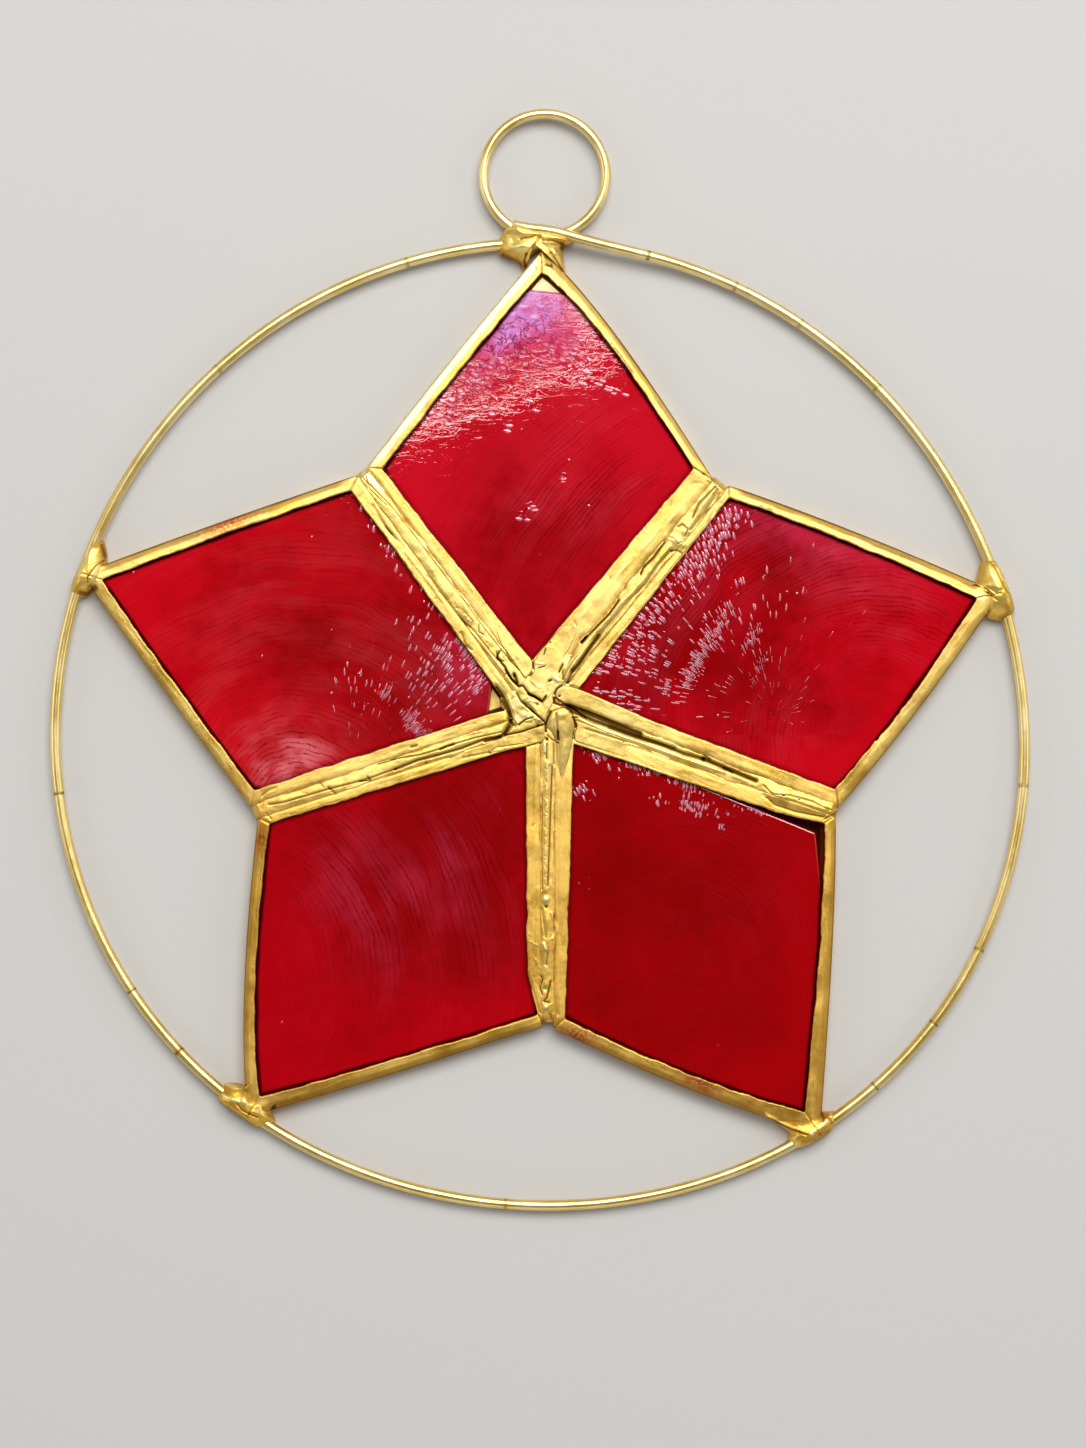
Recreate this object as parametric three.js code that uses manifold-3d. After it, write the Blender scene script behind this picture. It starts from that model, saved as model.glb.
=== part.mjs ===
// A star of five dyed shell panes in folded brass frames, soldered inside a wire hoop with a hanging ring.
// It lies on its back: +Z points out of its front and +Y to the hanging ring.
// The origin is the middle of the hoop, on the plane that the back rests on.
// Lengths are millimetres. Headings are degrees clockwise from +Y, seen from the front.
import * as THREE from "three";
import { mergeVertices } from "three/addons/utils/BufferGeometryUtils.js";
import Module from "manifold-3d";

const wasm = await Module();
wasm.setup();

// Room left between pieces that solder or lacquer joins.
const CLEARANCE = 0.3;

// The hoop is one wire bent by hand, so its radius swells a little in one, two, three and four places.
const HOOP_RADIUS = 54.27;
const HOOP_WIRE = 1.2;
const HOOP_LIFT = 0.6;
const HOOP_BUTT_GAP = 0.5;
const HOOP_SWELLS = [
  { lobes: 1, swell: 0.3, at: 156 },
  { lobes: 2, swell: 0.35, at: 118.7 },
  { lobes: 3, swell: 0.48, at: 3.6 },
  { lobes: 4, swell: 0.08, at: 37 },
];

// The hanging ring is an open loop of wire, whose foot stands a little off the hoop.
const RING_RADIUS = 6.87;
const RING_WIRE = 1.1;
const RING_LIFT = 0.77;
const RING_ASIDE = 0.57;

// A frame is one brass strip folded into a U round its pane.
const FLANGE = 0.4;
const WEB = 0.4;
const OUTER_LAP = 1.15;
const HUB_LAP = 1.0;
const PANE_THICKNESS = 1.0;

// The seams meet near this point, each one passing it a little to one side.
const HUB = new THREE.Vector2(0.17, 2.02);
const HUB_RADIUS = 2.6;
const HUB_CAP_RADIUS = 3.3;
const HUB_RISE = 0.9;
const HUB_STEPS = 4;

// A seam lies clockwise of the pane of the same place in PANES. Its gap narrows from the hub to the notch.
// lapBefore and lapAfter are the flange widths of the frames on its anticlockwise and clockwise sides.
const SEAMS = [
  {
    name: "upper_right",
    heading: 38,
    reach: 32.1,
    aside: -0.56,
    gaps: [1.7, 1],
    lapBefore: 2.45,
    lapAfter: 1.5,
  },
  {
    name: "lower_right",
    heading: 109.3,
    reach: 34.9,
    aside: -0.6,
    gaps: [2, 1],
    lapBefore: 1.4,
    lapAfter: 1.4,
  },
  {
    name: "lower",
    heading: 178.6,
    reach: 35.6,
    aside: -0.66,
    gaps: [1.8, 1.1],
    lapBefore: 1.2,
    lapAfter: 1.5,
  },
  {
    name: "lower_left",
    heading: 250,
    reach: 34.05,
    aside: -0.92,
    gaps: [1.6, 1.2],
    lapBefore: 1.2,
    lapAfter: 1.55,
  },
  {
    name: "upper_left",
    heading: 322.6,
    reach: 33,
    aside: -0.25,
    gaps: [1.9, 1.1],
    lapBefore: 1.5,
    lapAfter: 1.5,
  },
];

// A seam's bead stands proud of the frames. Its crown is a share of its width, and so are its ends.
const BEAD_RISE = 0.35;
const BEAD_CROWN = 0.5;
const BEAD_END = 0.7;

// Each pane's point lies at its heading, past the middle of the hoop's wire by pastWire.
// The two outer edges bow outwards: a bow's crest is pulled by `by` at the share `at` of the edge, clockwise.
// chip is a corner broken off the shell, where the back of the frame is folded over further to cover the gap.
const PANES = [
  {
    name: "top",
    heading: 0.2,
    pastWire: -0.97,
    bows: [{ at: 0.5, by: 0.52 }, { at: 0.25, by: 2.1 }],
    chip: { heading: 10, depth: 3.3 },
  },
  {
    name: "right",
    heading: 73.95,
    pastWire: -0.15,
    bows: [{ at: 0.5, by: 0.8 }, { at: 0.55, by: 1.1 }],
  },
  {
    name: "lower_right",
    heading: 145.5,
    pastWire: 0.46,
    bows: [{ at: 0.3, by: 0.75 }, { at: 0.45, by: 1.5 }],
    chip: { heading: 23, depth: 1.5 },
  },
  {
    name: "lower_left",
    heading: 216.8,
    pastWire: 0.36,
    bows: [{ at: 0.65, by: 0.45 }, { at: 0.35, by: 1.8 }],
  },
  {
    name: "left",
    heading: 288.4,
    pastWire: 0,
    bows: [{ at: 0.55, by: 0.4 }, { at: 0.4, by: 0.35 }],
    chip: { heading: 90, depth: 2.2 },
  },
];
const CHIP_COVER = 1.2;
const EDGE_STEPS = 5;

// Solder at the points: a run along the wire, a little inwards of it, and a pad over the frame's point.
const TIP_RISE = 0.6;
const TIP_WALL = 0.7;
const TIP_INWARDS = 0.15;
const TIP_PAD = { along: 2.3, across: 2.1 };
const TIP_RUNS = [
  { heading: -0.2, halfLength: 5.6 },
  { heading: 73.5, halfLength: 4.4 },
  { heading: 145.7, halfLength: 4 },
  { heading: 217.4, halfLength: 4.6 },
  { heading: 289.4, halfLength: 4.3 },
];
const RING_PAD = 1.9;

const HOOP_STEPS = 96;
const RING_STEPS = 36;
const WIRE_SIDES = 8;
const ROUND_STEPS = 16;

// Heights that follow from the sizes above.
const GROOVE = PANE_THICKNESS + 2 * CLEARANCE;
const FRAME_THICKNESS = GROOVE + 2 * FLANGE;
const HOOP_Z = HOOP_LIFT + HOOP_WIRE / 2;

const radians = THREE.MathUtils.degToRad;

// Unit vector along a heading.
function direction(heading) {
  return new THREE.Vector2(Math.sin(radians(heading)), Math.cos(radians(heading)));
}

// The clockwise side of a direction.
function clockwiseOf(along) {
  return new THREE.Vector2(along.y, -along.x);
}

// Radius of the hoop's bent wire at a heading, to the middle of the wire.
function hoopRadius(heading) {
  return HOOP_SWELLS.reduce(
    (radius, { lobes, swell, at }) => radius + swell * Math.cos(radians(lobes * (heading - at))),
    HOOP_RADIUS,
  );
}

// A geometry as a manifold-3d solid.
function solidOf(geometry) {
  const bare = geometry.clone();
  bare.deleteAttribute("normal");
  bare.deleteAttribute("uv");
  const merged = mergeVertices(bare, 1e-4);
  return new wasm.Manifold(
    new wasm.Mesh({
      numProp: 3,
      vertProperties: merged.attributes.position.array,
      triVerts: new Uint32Array(merged.index.array),
    }),
  );
}

// A manifold-3d solid as a flat-shaded geometry.
function geometryOf(solid) {
  const mesh = solid.getMesh();
  const geometry = new THREE.BufferGeometry();
  geometry.setAttribute("position", new THREE.BufferAttribute(mesh.vertProperties, 3));
  geometry.setIndex(new THREE.BufferAttribute(mesh.triVerts, 1));
  const flat = geometry.toNonIndexed();
  flat.computeVertexNormals();
  return flat;
}

// An outline is a clockwise list of corners. A corner's lap is the flange width of the edge that leaves it.
// This keeps what lies on the inward side of a line, and gives the new edge the lap.
function clip(outline, point, inward, lap) {
  const kept = [];
  outline.forEach((corner, i) => {
    const next = outline[(i + 1) % outline.length];
    const here = corner.at.clone().sub(point).dot(inward);
    const there = next.at.clone().sub(point).dot(inward);
    if (here >= 0) kept.push(corner);
    if (here >= 0 !== there >= 0) {
      const at = corner.at.clone().lerp(next.at, here / (here - there));
      kept.push({ at, lap: here >= 0 ? lap : corner.lap });
    }
  });
  return kept;
}

// The outline with each edge moved inwards by its depth, or outwards where that is negative.
function inset(outline, depthOf) {
  const far = 4 * HOOP_RADIUS;
  const square = [[-far, -far], [-far, far], [far, far], [far, -far]];
  let moved = square.map(([x, y]) => ({ at: new THREE.Vector2(x, y), lap: 0 }));
  outline.forEach((corner, i) => {
    const next = outline[(i + 1) % outline.length];
    const inward = clockwiseOf(next.at.clone().sub(corner.at).normalize());
    const line = corner.at.clone().addScaledVector(inward, depthOf(corner));
    moved = clip(moved, line, inward, corner.lap);
  });
  return moved;
}

// How far the outline reaches towards a heading.
function furthest(outline, heading) {
  return Math.max(...outline.map((corner) => corner.at.dot(direction(heading))));
}

// The outline cut square to a heading at a distance from the origin.
function cutSquare(outline, heading, distance) {
  const out = direction(heading);
  return clip(outline, out.clone().multiplyScalar(distance), out.clone().negate(), 0);
}

// The outline as a solid between two heights.
function slab(outline, bottom, top) {
  const shape = new THREE.Shape(outline.map((corner) => corner.at));
  const geometry = new THREE.ExtrudeGeometry(shape, { depth: top - bottom, bevelEnabled: false });
  return solidOf(geometry.translate(0, 0, bottom));
}

// The middle line of a seam, with its clockwise side.
function seamLine({ heading, reach, aside }) {
  const start = HUB.clone().addScaledVector(clockwiseOf(direction(heading)), aside);
  const end = HUB.clone().addScaledVector(direction(heading), reach);
  const clockwise = clockwiseOf(end.clone().sub(start).normalize());
  return { start, end, clockwise };
}

// One side of a seam's gap, as its hub end and its notch end. side is 1 clockwise and -1 anticlockwise.
function seamSide(seam, side) {
  const { start, end, clockwise } = seamLine(seam);
  const [atHub, atNotch] = seam.gaps;
  start.addScaledVector(clockwise, (side * atHub) / 2);
  end.addScaledVector(clockwise, (side * atNotch) / 2);
  return { start, end };
}

// Points of a bowed edge, from its first corner up to but without its last.
function bowed(from, to, { at, by }) {
  const outward = clockwiseOf(to.clone().sub(from).normalize()).negate();
  const crest = from.clone().lerp(to, at).addScaledVector(outward, by);
  const curve = new THREE.QuadraticBezierCurve(from, crest, to);
  return curve.getPoints(EDGE_STEPS).slice(0, -1);
}

// Where two seam sides would meet at the hub.
function meeting(a, b) {
  const along = a.end.clone().sub(a.start);
  const other = b.end.clone().sub(b.start);
  const between = b.start.clone().sub(a.start);
  return a.start.clone().addScaledVector(along, between.cross(other) / along.cross(other));
}

// How far out a frame's point may reach before it is cut back to seat on the wire.
function seatRadius(pane) {
  return hoopRadius(pane.heading) - HOOP_WIRE / 2 - CLEARANCE;
}

// A frame's outer outline: the space between its two seams and the hoop.
// Its corner at the hub is cut back for the hub's solder, and its point is cut back to seat on the wire.
function frameOutline(i) {
  const pane = PANES[i];
  const seamBefore = SEAMS[(i + SEAMS.length - 1) % SEAMS.length];
  const seamAfter = SEAMS[i];
  const left = seamSide(seamBefore, 1);
  const right = seamSide(seamAfter, -1);
  const radial = direction(pane.heading);
  const point = radial.clone().multiplyScalar(hoopRadius(pane.heading) + pane.pastWire);
  const outer = [...bowed(left.end, point, pane.bows[0]), ...bowed(point, right.end, pane.bows[1])];
  const outline = [
    { at: meeting(left, right), lap: seamBefore.lapAfter },
    ...outer.map((at) => ({ at, lap: OUTER_LAP })),
    { at: right.end, lap: seamAfter.lapBefore },
  ];
  const seat = radial.clone().multiplyScalar(seatRadius(pane));
  const seated = clip(outline, seat, radial.clone().negate(), OUTER_LAP);
  const fromHub = point.clone().sub(HUB).normalize();
  const hubCut = HUB.clone().addScaledVector(fromHub, HUB_RADIUS + CLEARANCE);
  return clip(seated, hubCut, fromHub, HUB_LAP);
}

// The folded strip: a U whose groove opens into the window that shows the pane.
function frameGeometry(i) {
  const outline = frameOutline(i);
  const window = inset(outline, (corner) => corner.lap);
  const groove = inset(outline, () => WEB);
  const middle = FRAME_THICKNESS / 2;
  const chip = PANES[i].chip;
  const backWindow = chip ? coveredBehind(i, window) : window;
  const solid = slab(outline, 0, FRAME_THICKNESS)
    .subtract(slab(groove, FLANGE, FRAME_THICKNESS - FLANGE))
    .subtract(slab(window, middle, FRAME_THICKNESS + FLANGE))
    .subtract(slab(backWindow, -FLANGE, middle));
  return geometryOf(solid);
}

// The window's opening at the back, where the strip covers the chipped corner and a little more.
function coveredBehind(i, window) {
  const { heading, depth } = PANES[i].chip;
  return cutSquare(window, heading, furthest(wholePane(i), heading) - depth - CHIP_COVER);
}

// A pane's outline before its corner chipped: it fills the groove, less the clearance.
function wholePane(i) {
  return inset(frameOutline(i), () => WEB + CLEARANCE);
}

function paneGeometry(i) {
  const { heading, depth } = PANES[i].chip ?? { heading: 0, depth: 0 };
  const whole = wholePane(i);
  const outline = depth > 0 ? cutSquare(whole, heading, furthest(whole, heading) - depth) : whole;
  const back = FLANGE + CLEARANCE;
  return geometryOf(slab(outline, back, back + PANE_THICKNESS));
}

// A bent wire in the plane of the hoop, with square-cut ends.
class FlatWire extends THREE.Curve {
  constructor(radiusAt, first, last, centre) {
    super();
    Object.assign(this, { radiusAt, first, last, centre });
  }

  getPoint(t, target = new THREE.Vector3()) {
    const heading = THREE.MathUtils.lerp(this.first, this.last, t);
    const at = direction(heading).multiplyScalar(this.radiusAt(heading)).add(this.centre);
    return target.set(at.x, at.y, HOOP_Z);
  }
}

// Round bar of a diameter along a curve.
function bar(curve, diameter, steps) {
  const corners = [];
  for (let side = 0; side < WIRE_SIDES; side++) {
    const turn = ((side + 0.5) * 2 * Math.PI) / WIRE_SIDES;
    corners.push(new THREE.Vector2(Math.cos(turn), Math.sin(turn)).multiplyScalar(diameter / 2));
  }
  return new THREE.ExtrudeGeometry(new THREE.Shape(corners), { extrudePath: curve, steps });
}

function hoopCurve() {
  const halfButt = THREE.MathUtils.radToDeg(HOOP_BUTT_GAP / 2 / HOOP_RADIUS);
  return new FlatWire(hoopRadius, halfButt, 360 - halfButt, new THREE.Vector2(0, 0));
}

// The ring's ends stop where its wire would come within the clearance of the hoop's.
function ringCurve() {
  const wire = hoopRadius(0);
  const centre = new THREE.Vector2(RING_ASIDE, wire + RING_RADIUS + RING_LIFT);
  const lowest = wire + (HOOP_WIRE + RING_WIRE) / 2 + CLEARANCE;
  const last = THREE.MathUtils.radToDeg(Math.acos((lowest - centre.y) / RING_RADIUS));
  return new FlatWire(() => RING_RADIUS, -last, last, centre);
}

// The room that a wire needs inside the solder: the clearance is measured to the flats of the bar.
function wireRoom(curve, diameter, steps) {
  const flats = Math.cos(Math.PI / WIRE_SIDES);
  return solidOf(bar(curve, (diameter + 2 * CLEARANCE) / flats, steps));
}

// The stretch of the hoop under one run of solder.
function hoopStretch(heading, halfLength) {
  const half = THREE.MathUtils.radToDeg((halfLength + HOOP_WIRE) / HOOP_RADIUS);
  return new FlatWire(hoopRadius, heading - half, heading + half, new THREE.Vector2(0, 0));
}

// Everything below the plane that the back rests on.
function underneath() {
  const span = 4 * HOOP_RADIUS;
  return solidOf(new THREE.BoxGeometry(span, span, span).translate(0, 0, -span / 2));
}

// A flattened ball whose long axis lies across a heading.
function ball(centre, heading, along, across, height) {
  const geometry = new THREE.SphereGeometry(1, ROUND_STEPS, ROUND_STEPS / 2);
  geometry.rotateX(Math.PI / 2);
  geometry.scale(along, across, height);
  geometry.rotateZ(-radians(heading));
  geometry.translate(centre.x, centre.y, HOOP_Z);
  return solidOf(geometry);
}

// The solder that holds one point of the star to the hoop, and at the top the hanging ring as well.
function tipSolderGeometry(i) {
  const run = TIP_RUNS[i];
  const pane = PANES[i];
  const height = FRAME_THICKNESS + TIP_RISE - HOOP_Z;
  const runCentre = direction(run.heading).multiplyScalar(hoopRadius(run.heading) - TIP_INWARDS);
  const padRadius = seatRadius(pane) + Math.min(pane.pastWire, 0) / 2;
  const padCentre = direction(pane.heading).multiplyScalar(padRadius);
  const wall = HOOP_WIRE / 2 + TIP_WALL;
  let solder = ball(runCentre, run.heading, run.halfLength, wall, height);
  solder = solder.add(ball(padCentre, pane.heading, TIP_PAD.along, TIP_PAD.across, height));
  if (i === 0) solder = withRingPads(solder, height);
  const frameRoom = slab(inset(frameOutline(i), () => -CLEARANCE), -CLEARANCE, FRAME_THICKNESS + CLEARANCE);
  const hoopRoom = wireRoom(hoopStretch(run.heading, run.halfLength), HOOP_WIRE, ROUND_STEPS);
  return geometryOf(solder.subtract(underneath()).subtract(frameRoom).subtract(hoopRoom));
}

// Adds a pad round each end of the ring, and the room that the ring's wire needs in them.
function withRingPads(solder, height) {
  const curve = ringCurve();
  let joined = solder;
  for (const end of [curve.getPoint(0), curve.getPoint(1)]) {
    const towards = new THREE.Vector2(end.x, end.y - RING_WIRE / 2);
    joined = joined.add(ball(towards, 0, RING_PAD, RING_PAD, height));
  }
  return joined.subtract(wireRoom(curve, RING_WIRE, RING_STEPS));
}

// The solder at the hub: a plug between the frames' corners, and a low cap over them.
function hubSolderGeometry() {
  const shelf = FRAME_THICKNESS + CLEARANCE;
  const rise = FRAME_THICKNESS + HUB_RISE - shelf;
  const profile = [
    new THREE.Vector2(0, 0),
    new THREE.Vector2(HUB_RADIUS, 0),
    new THREE.Vector2(HUB_RADIUS, shelf),
  ];
  for (let step = 0; step <= HUB_STEPS; step++) {
    const turn = (step / HUB_STEPS) * (Math.PI / 2);
    const radius = step === HUB_STEPS ? 0 : HUB_CAP_RADIUS * Math.cos(turn);
    profile.push(new THREE.Vector2(radius, shelf + rise * Math.sin(turn)));
  }
  const geometry = new THREE.LatheGeometry(profile, ROUND_STEPS);
  geometry.rotateX(Math.PI / 2);
  geometry.translate(HUB.x, HUB.y, 0);
  return geometryOf(solidOf(geometry));
}

// A closed solid through sections that have as many corners each, with its two ends capped.
function loft(sections) {
  const count = sections[0].length;
  const index = [];
  for (let s = 0; s + 1 < sections.length; s++) {
    for (let c = 0; c < count; c++) {
      const a = s * count + c;
      const b = s * count + ((c + 1) % count);
      index.push(a, b, a + count, b, b + count, a + count);
    }
  }
  const lastStart = (sections.length - 1) * count;
  for (let c = 1; c + 1 < count; c++) {
    index.push(0, c + 1, c, lastStart, lastStart + c, lastStart + c + 1);
  }
  const geometry = new THREE.BufferGeometry().setFromPoints(sections.flat());
  geometry.setIndex(index);
  return geometry;
}

// A seam's bead of solder: it fills the gap less the clearance, and stands proud in a low crown.
function beadGeometry(seam) {
  const { start, end, clockwise } = seamLine(seam);
  const along = end.clone().sub(start).normalize();
  const fromHub = HUB_CAP_RADIUS + CLEARANCE;
  const offset = start.clone().sub(HUB);
  const skip = Math.sqrt(Math.max(fromHub ** 2 - offset.lengthSq(), 0)) - offset.dot(along);
  const length = end.distanceTo(start);
  const stations = [
    { at: skip, share: BEAD_END },
    { at: skip + CLEARANCE, share: 1 },
    { at: (skip + length) / 2, share: 1 },
    { at: length - CLEARANCE, share: 1 },
    { at: length, share: BEAD_END },
  ];
  const sections = stations.map(({ at, share }) => {
    const [atHub, atNotch] = seam.gaps;
    const gap = THREE.MathUtils.lerp(atHub, atNotch, at / length);
    const half = (share * (gap - 2 * CLEARANCE)) / 2;
    const crown = FRAME_THICKNESS + share * BEAD_RISE;
    const middle = start.clone().addScaledVector(along, at);
    const corner = (across, z) => {
      const place = middle.clone().addScaledVector(clockwise, across * half);
      return new THREE.Vector3(place.x, place.y, z);
    };
    return [
      corner(-1, 0),
      corner(-1, FRAME_THICKNESS),
      corner(-BEAD_CROWN, crown),
      corner(BEAD_CROWN, crown),
      corner(1, FRAME_THICKNESS),
      corner(1, 0),
    ];
  });
  return geometryOf(solidOf(loft(sections)));
}

const brassWire = new THREE.MeshStandardMaterial({ color: 0xe6cf74, roughness: 0.25, metalness: 1 });
const brassStrip = new THREE.MeshStandardMaterial({ color: 0xdcbf5c, roughness: 0.4, metalness: 1 });
const giltSolder = new THREE.MeshStandardMaterial({ color: 0xc79a2b, roughness: 0.3, metalness: 1 });
const dyedShell = new THREE.MeshStandardMaterial({ color: 0xa30511, roughness: 0.2, metalness: 0 });

function piece(name, geometry, material) {
  const mesh = new THREE.Mesh(geometry, material);
  mesh.name = name;
  return mesh;
}

const star = new THREE.Group();
PANES.forEach((pane, i) => {
  star.add(piece(`pane_${pane.name}`, paneGeometry(i), dyedShell));
  star.add(piece(`frame_${pane.name}`, frameGeometry(i), brassStrip));
  star.add(piece(`tip_solder_${pane.name}`, tipSolderGeometry(i), giltSolder));
  star.add(piece(`seam_bead_${SEAMS[i].name}`, beadGeometry(SEAMS[i]), giltSolder));
});
star.add(piece("hub_solder", hubSolderGeometry(), giltSolder));

const hanger = new THREE.Group();
hanger.add(piece("hoop", bar(hoopCurve(), HOOP_WIRE, HOOP_STEPS), brassWire));
hanger.add(piece("hanging_ring", bar(ringCurve(), RING_WIRE, RING_STEPS), brassWire));

const ornament = new THREE.Group();
ornament.add(star, hanger);

export default ornament;
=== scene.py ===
"""The looks of the capiz star ornament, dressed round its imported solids.

All shapes are worked out in millimetres in the frame of the solids and put into
meshes in metres. The finished pieces stand for the nodes that they replace.
"""

import logging
import math
from dataclasses import dataclass, field
from enum import Enum
from typing import Sequence

import bpy
import numpy as np
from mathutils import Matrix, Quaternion, Vector


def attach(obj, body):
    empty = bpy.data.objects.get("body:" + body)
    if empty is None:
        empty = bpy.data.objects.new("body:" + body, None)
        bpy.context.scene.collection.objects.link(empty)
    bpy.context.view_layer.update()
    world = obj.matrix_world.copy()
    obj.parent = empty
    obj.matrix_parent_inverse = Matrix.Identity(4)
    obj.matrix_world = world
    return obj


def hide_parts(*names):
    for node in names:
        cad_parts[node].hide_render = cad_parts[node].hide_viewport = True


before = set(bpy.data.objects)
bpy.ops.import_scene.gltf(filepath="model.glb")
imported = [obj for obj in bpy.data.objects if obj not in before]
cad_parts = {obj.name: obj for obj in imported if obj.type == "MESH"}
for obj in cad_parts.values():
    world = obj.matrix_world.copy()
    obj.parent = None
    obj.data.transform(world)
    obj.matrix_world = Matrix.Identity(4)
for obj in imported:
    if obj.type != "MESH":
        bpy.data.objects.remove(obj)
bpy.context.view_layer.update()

LOG = logging.getLogger("capiz_star")
Array = np.ndarray
Socket = bpy.types.NodeSocket
Place = tuple[float, float]
Colour = tuple[float, float, float]
Spot = tuple[float, float, float]

METRES = 0.001
PLAN_UNIT = 0.11202
PLAN_ORIGIN = (539.5, 726.0)
SEED = 1107
LATTICE = 256
MILLIMETRES: Spot = (1000.0, 1000.0, 1000.0)


# Numbers on surfaces


def plan(places: Sequence) -> Array:
    """Turns places drawn on the plan into millimetres.

    The plan has x to the right and y down, and one unit of it is PLAN_UNIT long.

    Args:
        places: pairs of plan coordinates.

    Returns:
        The same places as x and y from the middle of the hoop, y upwards.
    """
    p = np.asarray(places, dtype=float)
    x = (p[..., 0] - PLAN_ORIGIN[0]) * PLAN_UNIT
    y = (PLAN_ORIGIN[1] - p[..., 1]) * PLAN_UNIT
    return np.stack([x, y], axis=-1)


def plan_place(x: float, y: float) -> Place:
    """Turns one place on the plan into millimetres."""
    return tuple(float(v) for v in plan((x, y)))


def step(low: float, high: float, value: Array) -> Array:
    """Rises smoothly from 0 at low to 1 at high: t squared times (3 minus 2t)."""
    t = np.clip((value - low) / (high - low), 0.0, 1.0)
    return t * t * (3.0 - 2.0 * t)


def grain(x: Array, y: Array, seed: int, octaves: int = 3, wrap: int = 0) -> Array:
    """Value noise between about -1 and 1.

    Random heights stand on a unit lattice, and a point takes the blend of its
    four neighbours by smooth steps. Each further octave has twice the count and
    half the height.

    Args:
        x: first coordinate, in lattice units.
        y: second coordinate, in lattice units.
        seed: which noise.
        octaves: how many layers are added.
        wrap: the lattice count after which x repeats, or 0.

    Returns:
        The height at each point.
    """
    total = np.zeros(np.broadcast(x, y).shape)
    for octave in range(octaves):
        table = np.random.default_rng(SEED + seed * 31 + octave).uniform(-1, 1, (LATTICE, LATTICE))
        fx, fy = x * 2.0**octave, y * 2.0**octave
        ix, iy = np.floor(fx).astype(int), np.floor(fy).astype(int)
        tx, ty = fx - ix, fy - iy
        tx, ty = tx * tx * (3 - 2 * tx), ty * ty * (3 - 2 * ty)
        period = wrap * 2**octave if wrap else LATTICE
        x0, x1 = (ix % period) % LATTICE, ((ix + 1) % period) % LATTICE
        y0, y1 = iy % LATTICE, (iy + 1) % LATTICE
        low = table[x0, y0] * (1 - tx) + table[x1, y0] * tx
        high = table[x0, y1] * (1 - tx) + table[x1, y1] * tx
        total += (low * (1 - ty) + high * ty) / 2.0**octave
    return total


def distance_to_path(points: Array, path: Array) -> tuple[Array, Array]:
    """Gives how far each point is from a line of straight runs.

    Args:
        points: places, any shape with a last axis of 2.
        path: the corners of the line.

    Returns:
        The distance, and how far along the line its nearest place is, from 0 to 1.
    """
    best = np.full(points.shape[:-1], 1e9)
    where = np.zeros(points.shape[:-1])
    runs = np.diff(path, axis=0)
    lengths = np.hypot(runs[:, 0], runs[:, 1])
    total, done = max(lengths.sum(), 1e-6), 0.0
    for start, run, length in zip(path[:-1], runs, lengths):
        away = points - start
        t = np.clip((away @ run) / max(length**2, 1e-9), 0, 1)
        gap = away - t[..., None] * run
        d = np.hypot(gap[..., 0], gap[..., 1])
        nearer = d < best
        where = np.where(nearer, (done + t * length) / total, where)
        best = np.where(nearer, d, best)
        done += length
    return best, where


def bowed_side(start: Array, end: Array, at: float, by: float, count: int) -> Array:
    """Samples a side bowed outwards, its end left out.

    The side is a quadratic curve from start to end. Its handle stands at the share
    `at` of the chord and `by` outwards, so that the crest stands half of `by` out.

    Args:
        start: first corner.
        end: last corner.
        at: where along the chord the handle is.
        by: how far the handle stands out, to the left of the chord's direction.
        count: number of samples.

    Returns:
        The samples.
    """
    chord = end - start
    out = np.array([-chord[1], chord[0]]) / np.hypot(*chord)
    handle = start + chord * at + out * by
    t = (np.arange(count) / count)[:, None]
    return (1 - t) ** 2 * start + 2 * (1 - t) * t * handle + t**2 * end


def bent_side(start: Array, elbow: Array, end: Array, count: int) -> Array:
    """Samples a side of two straight runs that meet at an elbow, evenly by length.

    Args:
        start: first corner.
        elbow: where the runs meet.
        end: last corner.
        count: number of samples.

    Returns:
        The samples, the end left out.
    """
    first, second = np.hypot(*(elbow - start)), np.hypot(*(end - elbow))
    at = np.arange(count) / count * (first + second)
    stops = np.array([0.0, first, first + second])
    corners = np.stack([start, elbow, end])
    return np.stack([np.interp(at, stops, corners[:, 0]), np.interp(at, stops, corners[:, 1])], -1)


def smooth_loop(values: Array, spread: float) -> Array:
    """Blurs a closed loop with a bell curve.

    Args:
        values: the samples round the loop.
        spread: width of the bell curve, in samples.

    Returns:
        The blurred samples.
    """
    reach = int(math.ceil(spread * 3))
    offsets = np.arange(-reach, reach + 1)
    weights = np.exp(-0.5 * (offsets / spread) ** 2)
    weights /= weights.sum()
    return sum(w * np.roll(values, o, axis=0) for w, o in zip(weights, offsets))


def even_loop(corners: Array, count: int, spread: float) -> Array:
    """Samples a closed outline of straight runs evenly by length, and rounds it.

    Args:
        corners: its corners, in order.
        count: number of samples.
        spread: how far it is rounded, in samples.

    Returns:
        The samples.
    """
    closed = np.concatenate([corners, corners[:1]])
    lengths = np.concatenate([[0], np.cumsum(np.hypot(*np.diff(closed, axis=0).T))])
    at = np.linspace(0, lengths[-1], count, endpoint=False)
    rim = np.stack([np.interp(at, lengths, closed[:, 0]), np.interp(at, lengths, closed[:, 1])], -1)
    return smooth_loop(rim, spread)


def shrunk(rim: Array, middle: Array, shares: Array) -> Array:
    """Gives rings of an outline, each shrunk towards a middle by its share."""
    return middle + (rim - middle)[None] * shares[:, None, None]


def raised_to(places: Array, height: Array) -> Array:
    """Gives places on the plan their heights."""
    return np.concatenate([places, height[..., None]], -1)


def pairs(*numbers: float) -> tuple[Place, ...]:
    """Groups x, y, x, y and so on into places on the plan."""
    return tuple(zip(numbers[::2], numbers[1::2]))


# Closed surfaces


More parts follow.
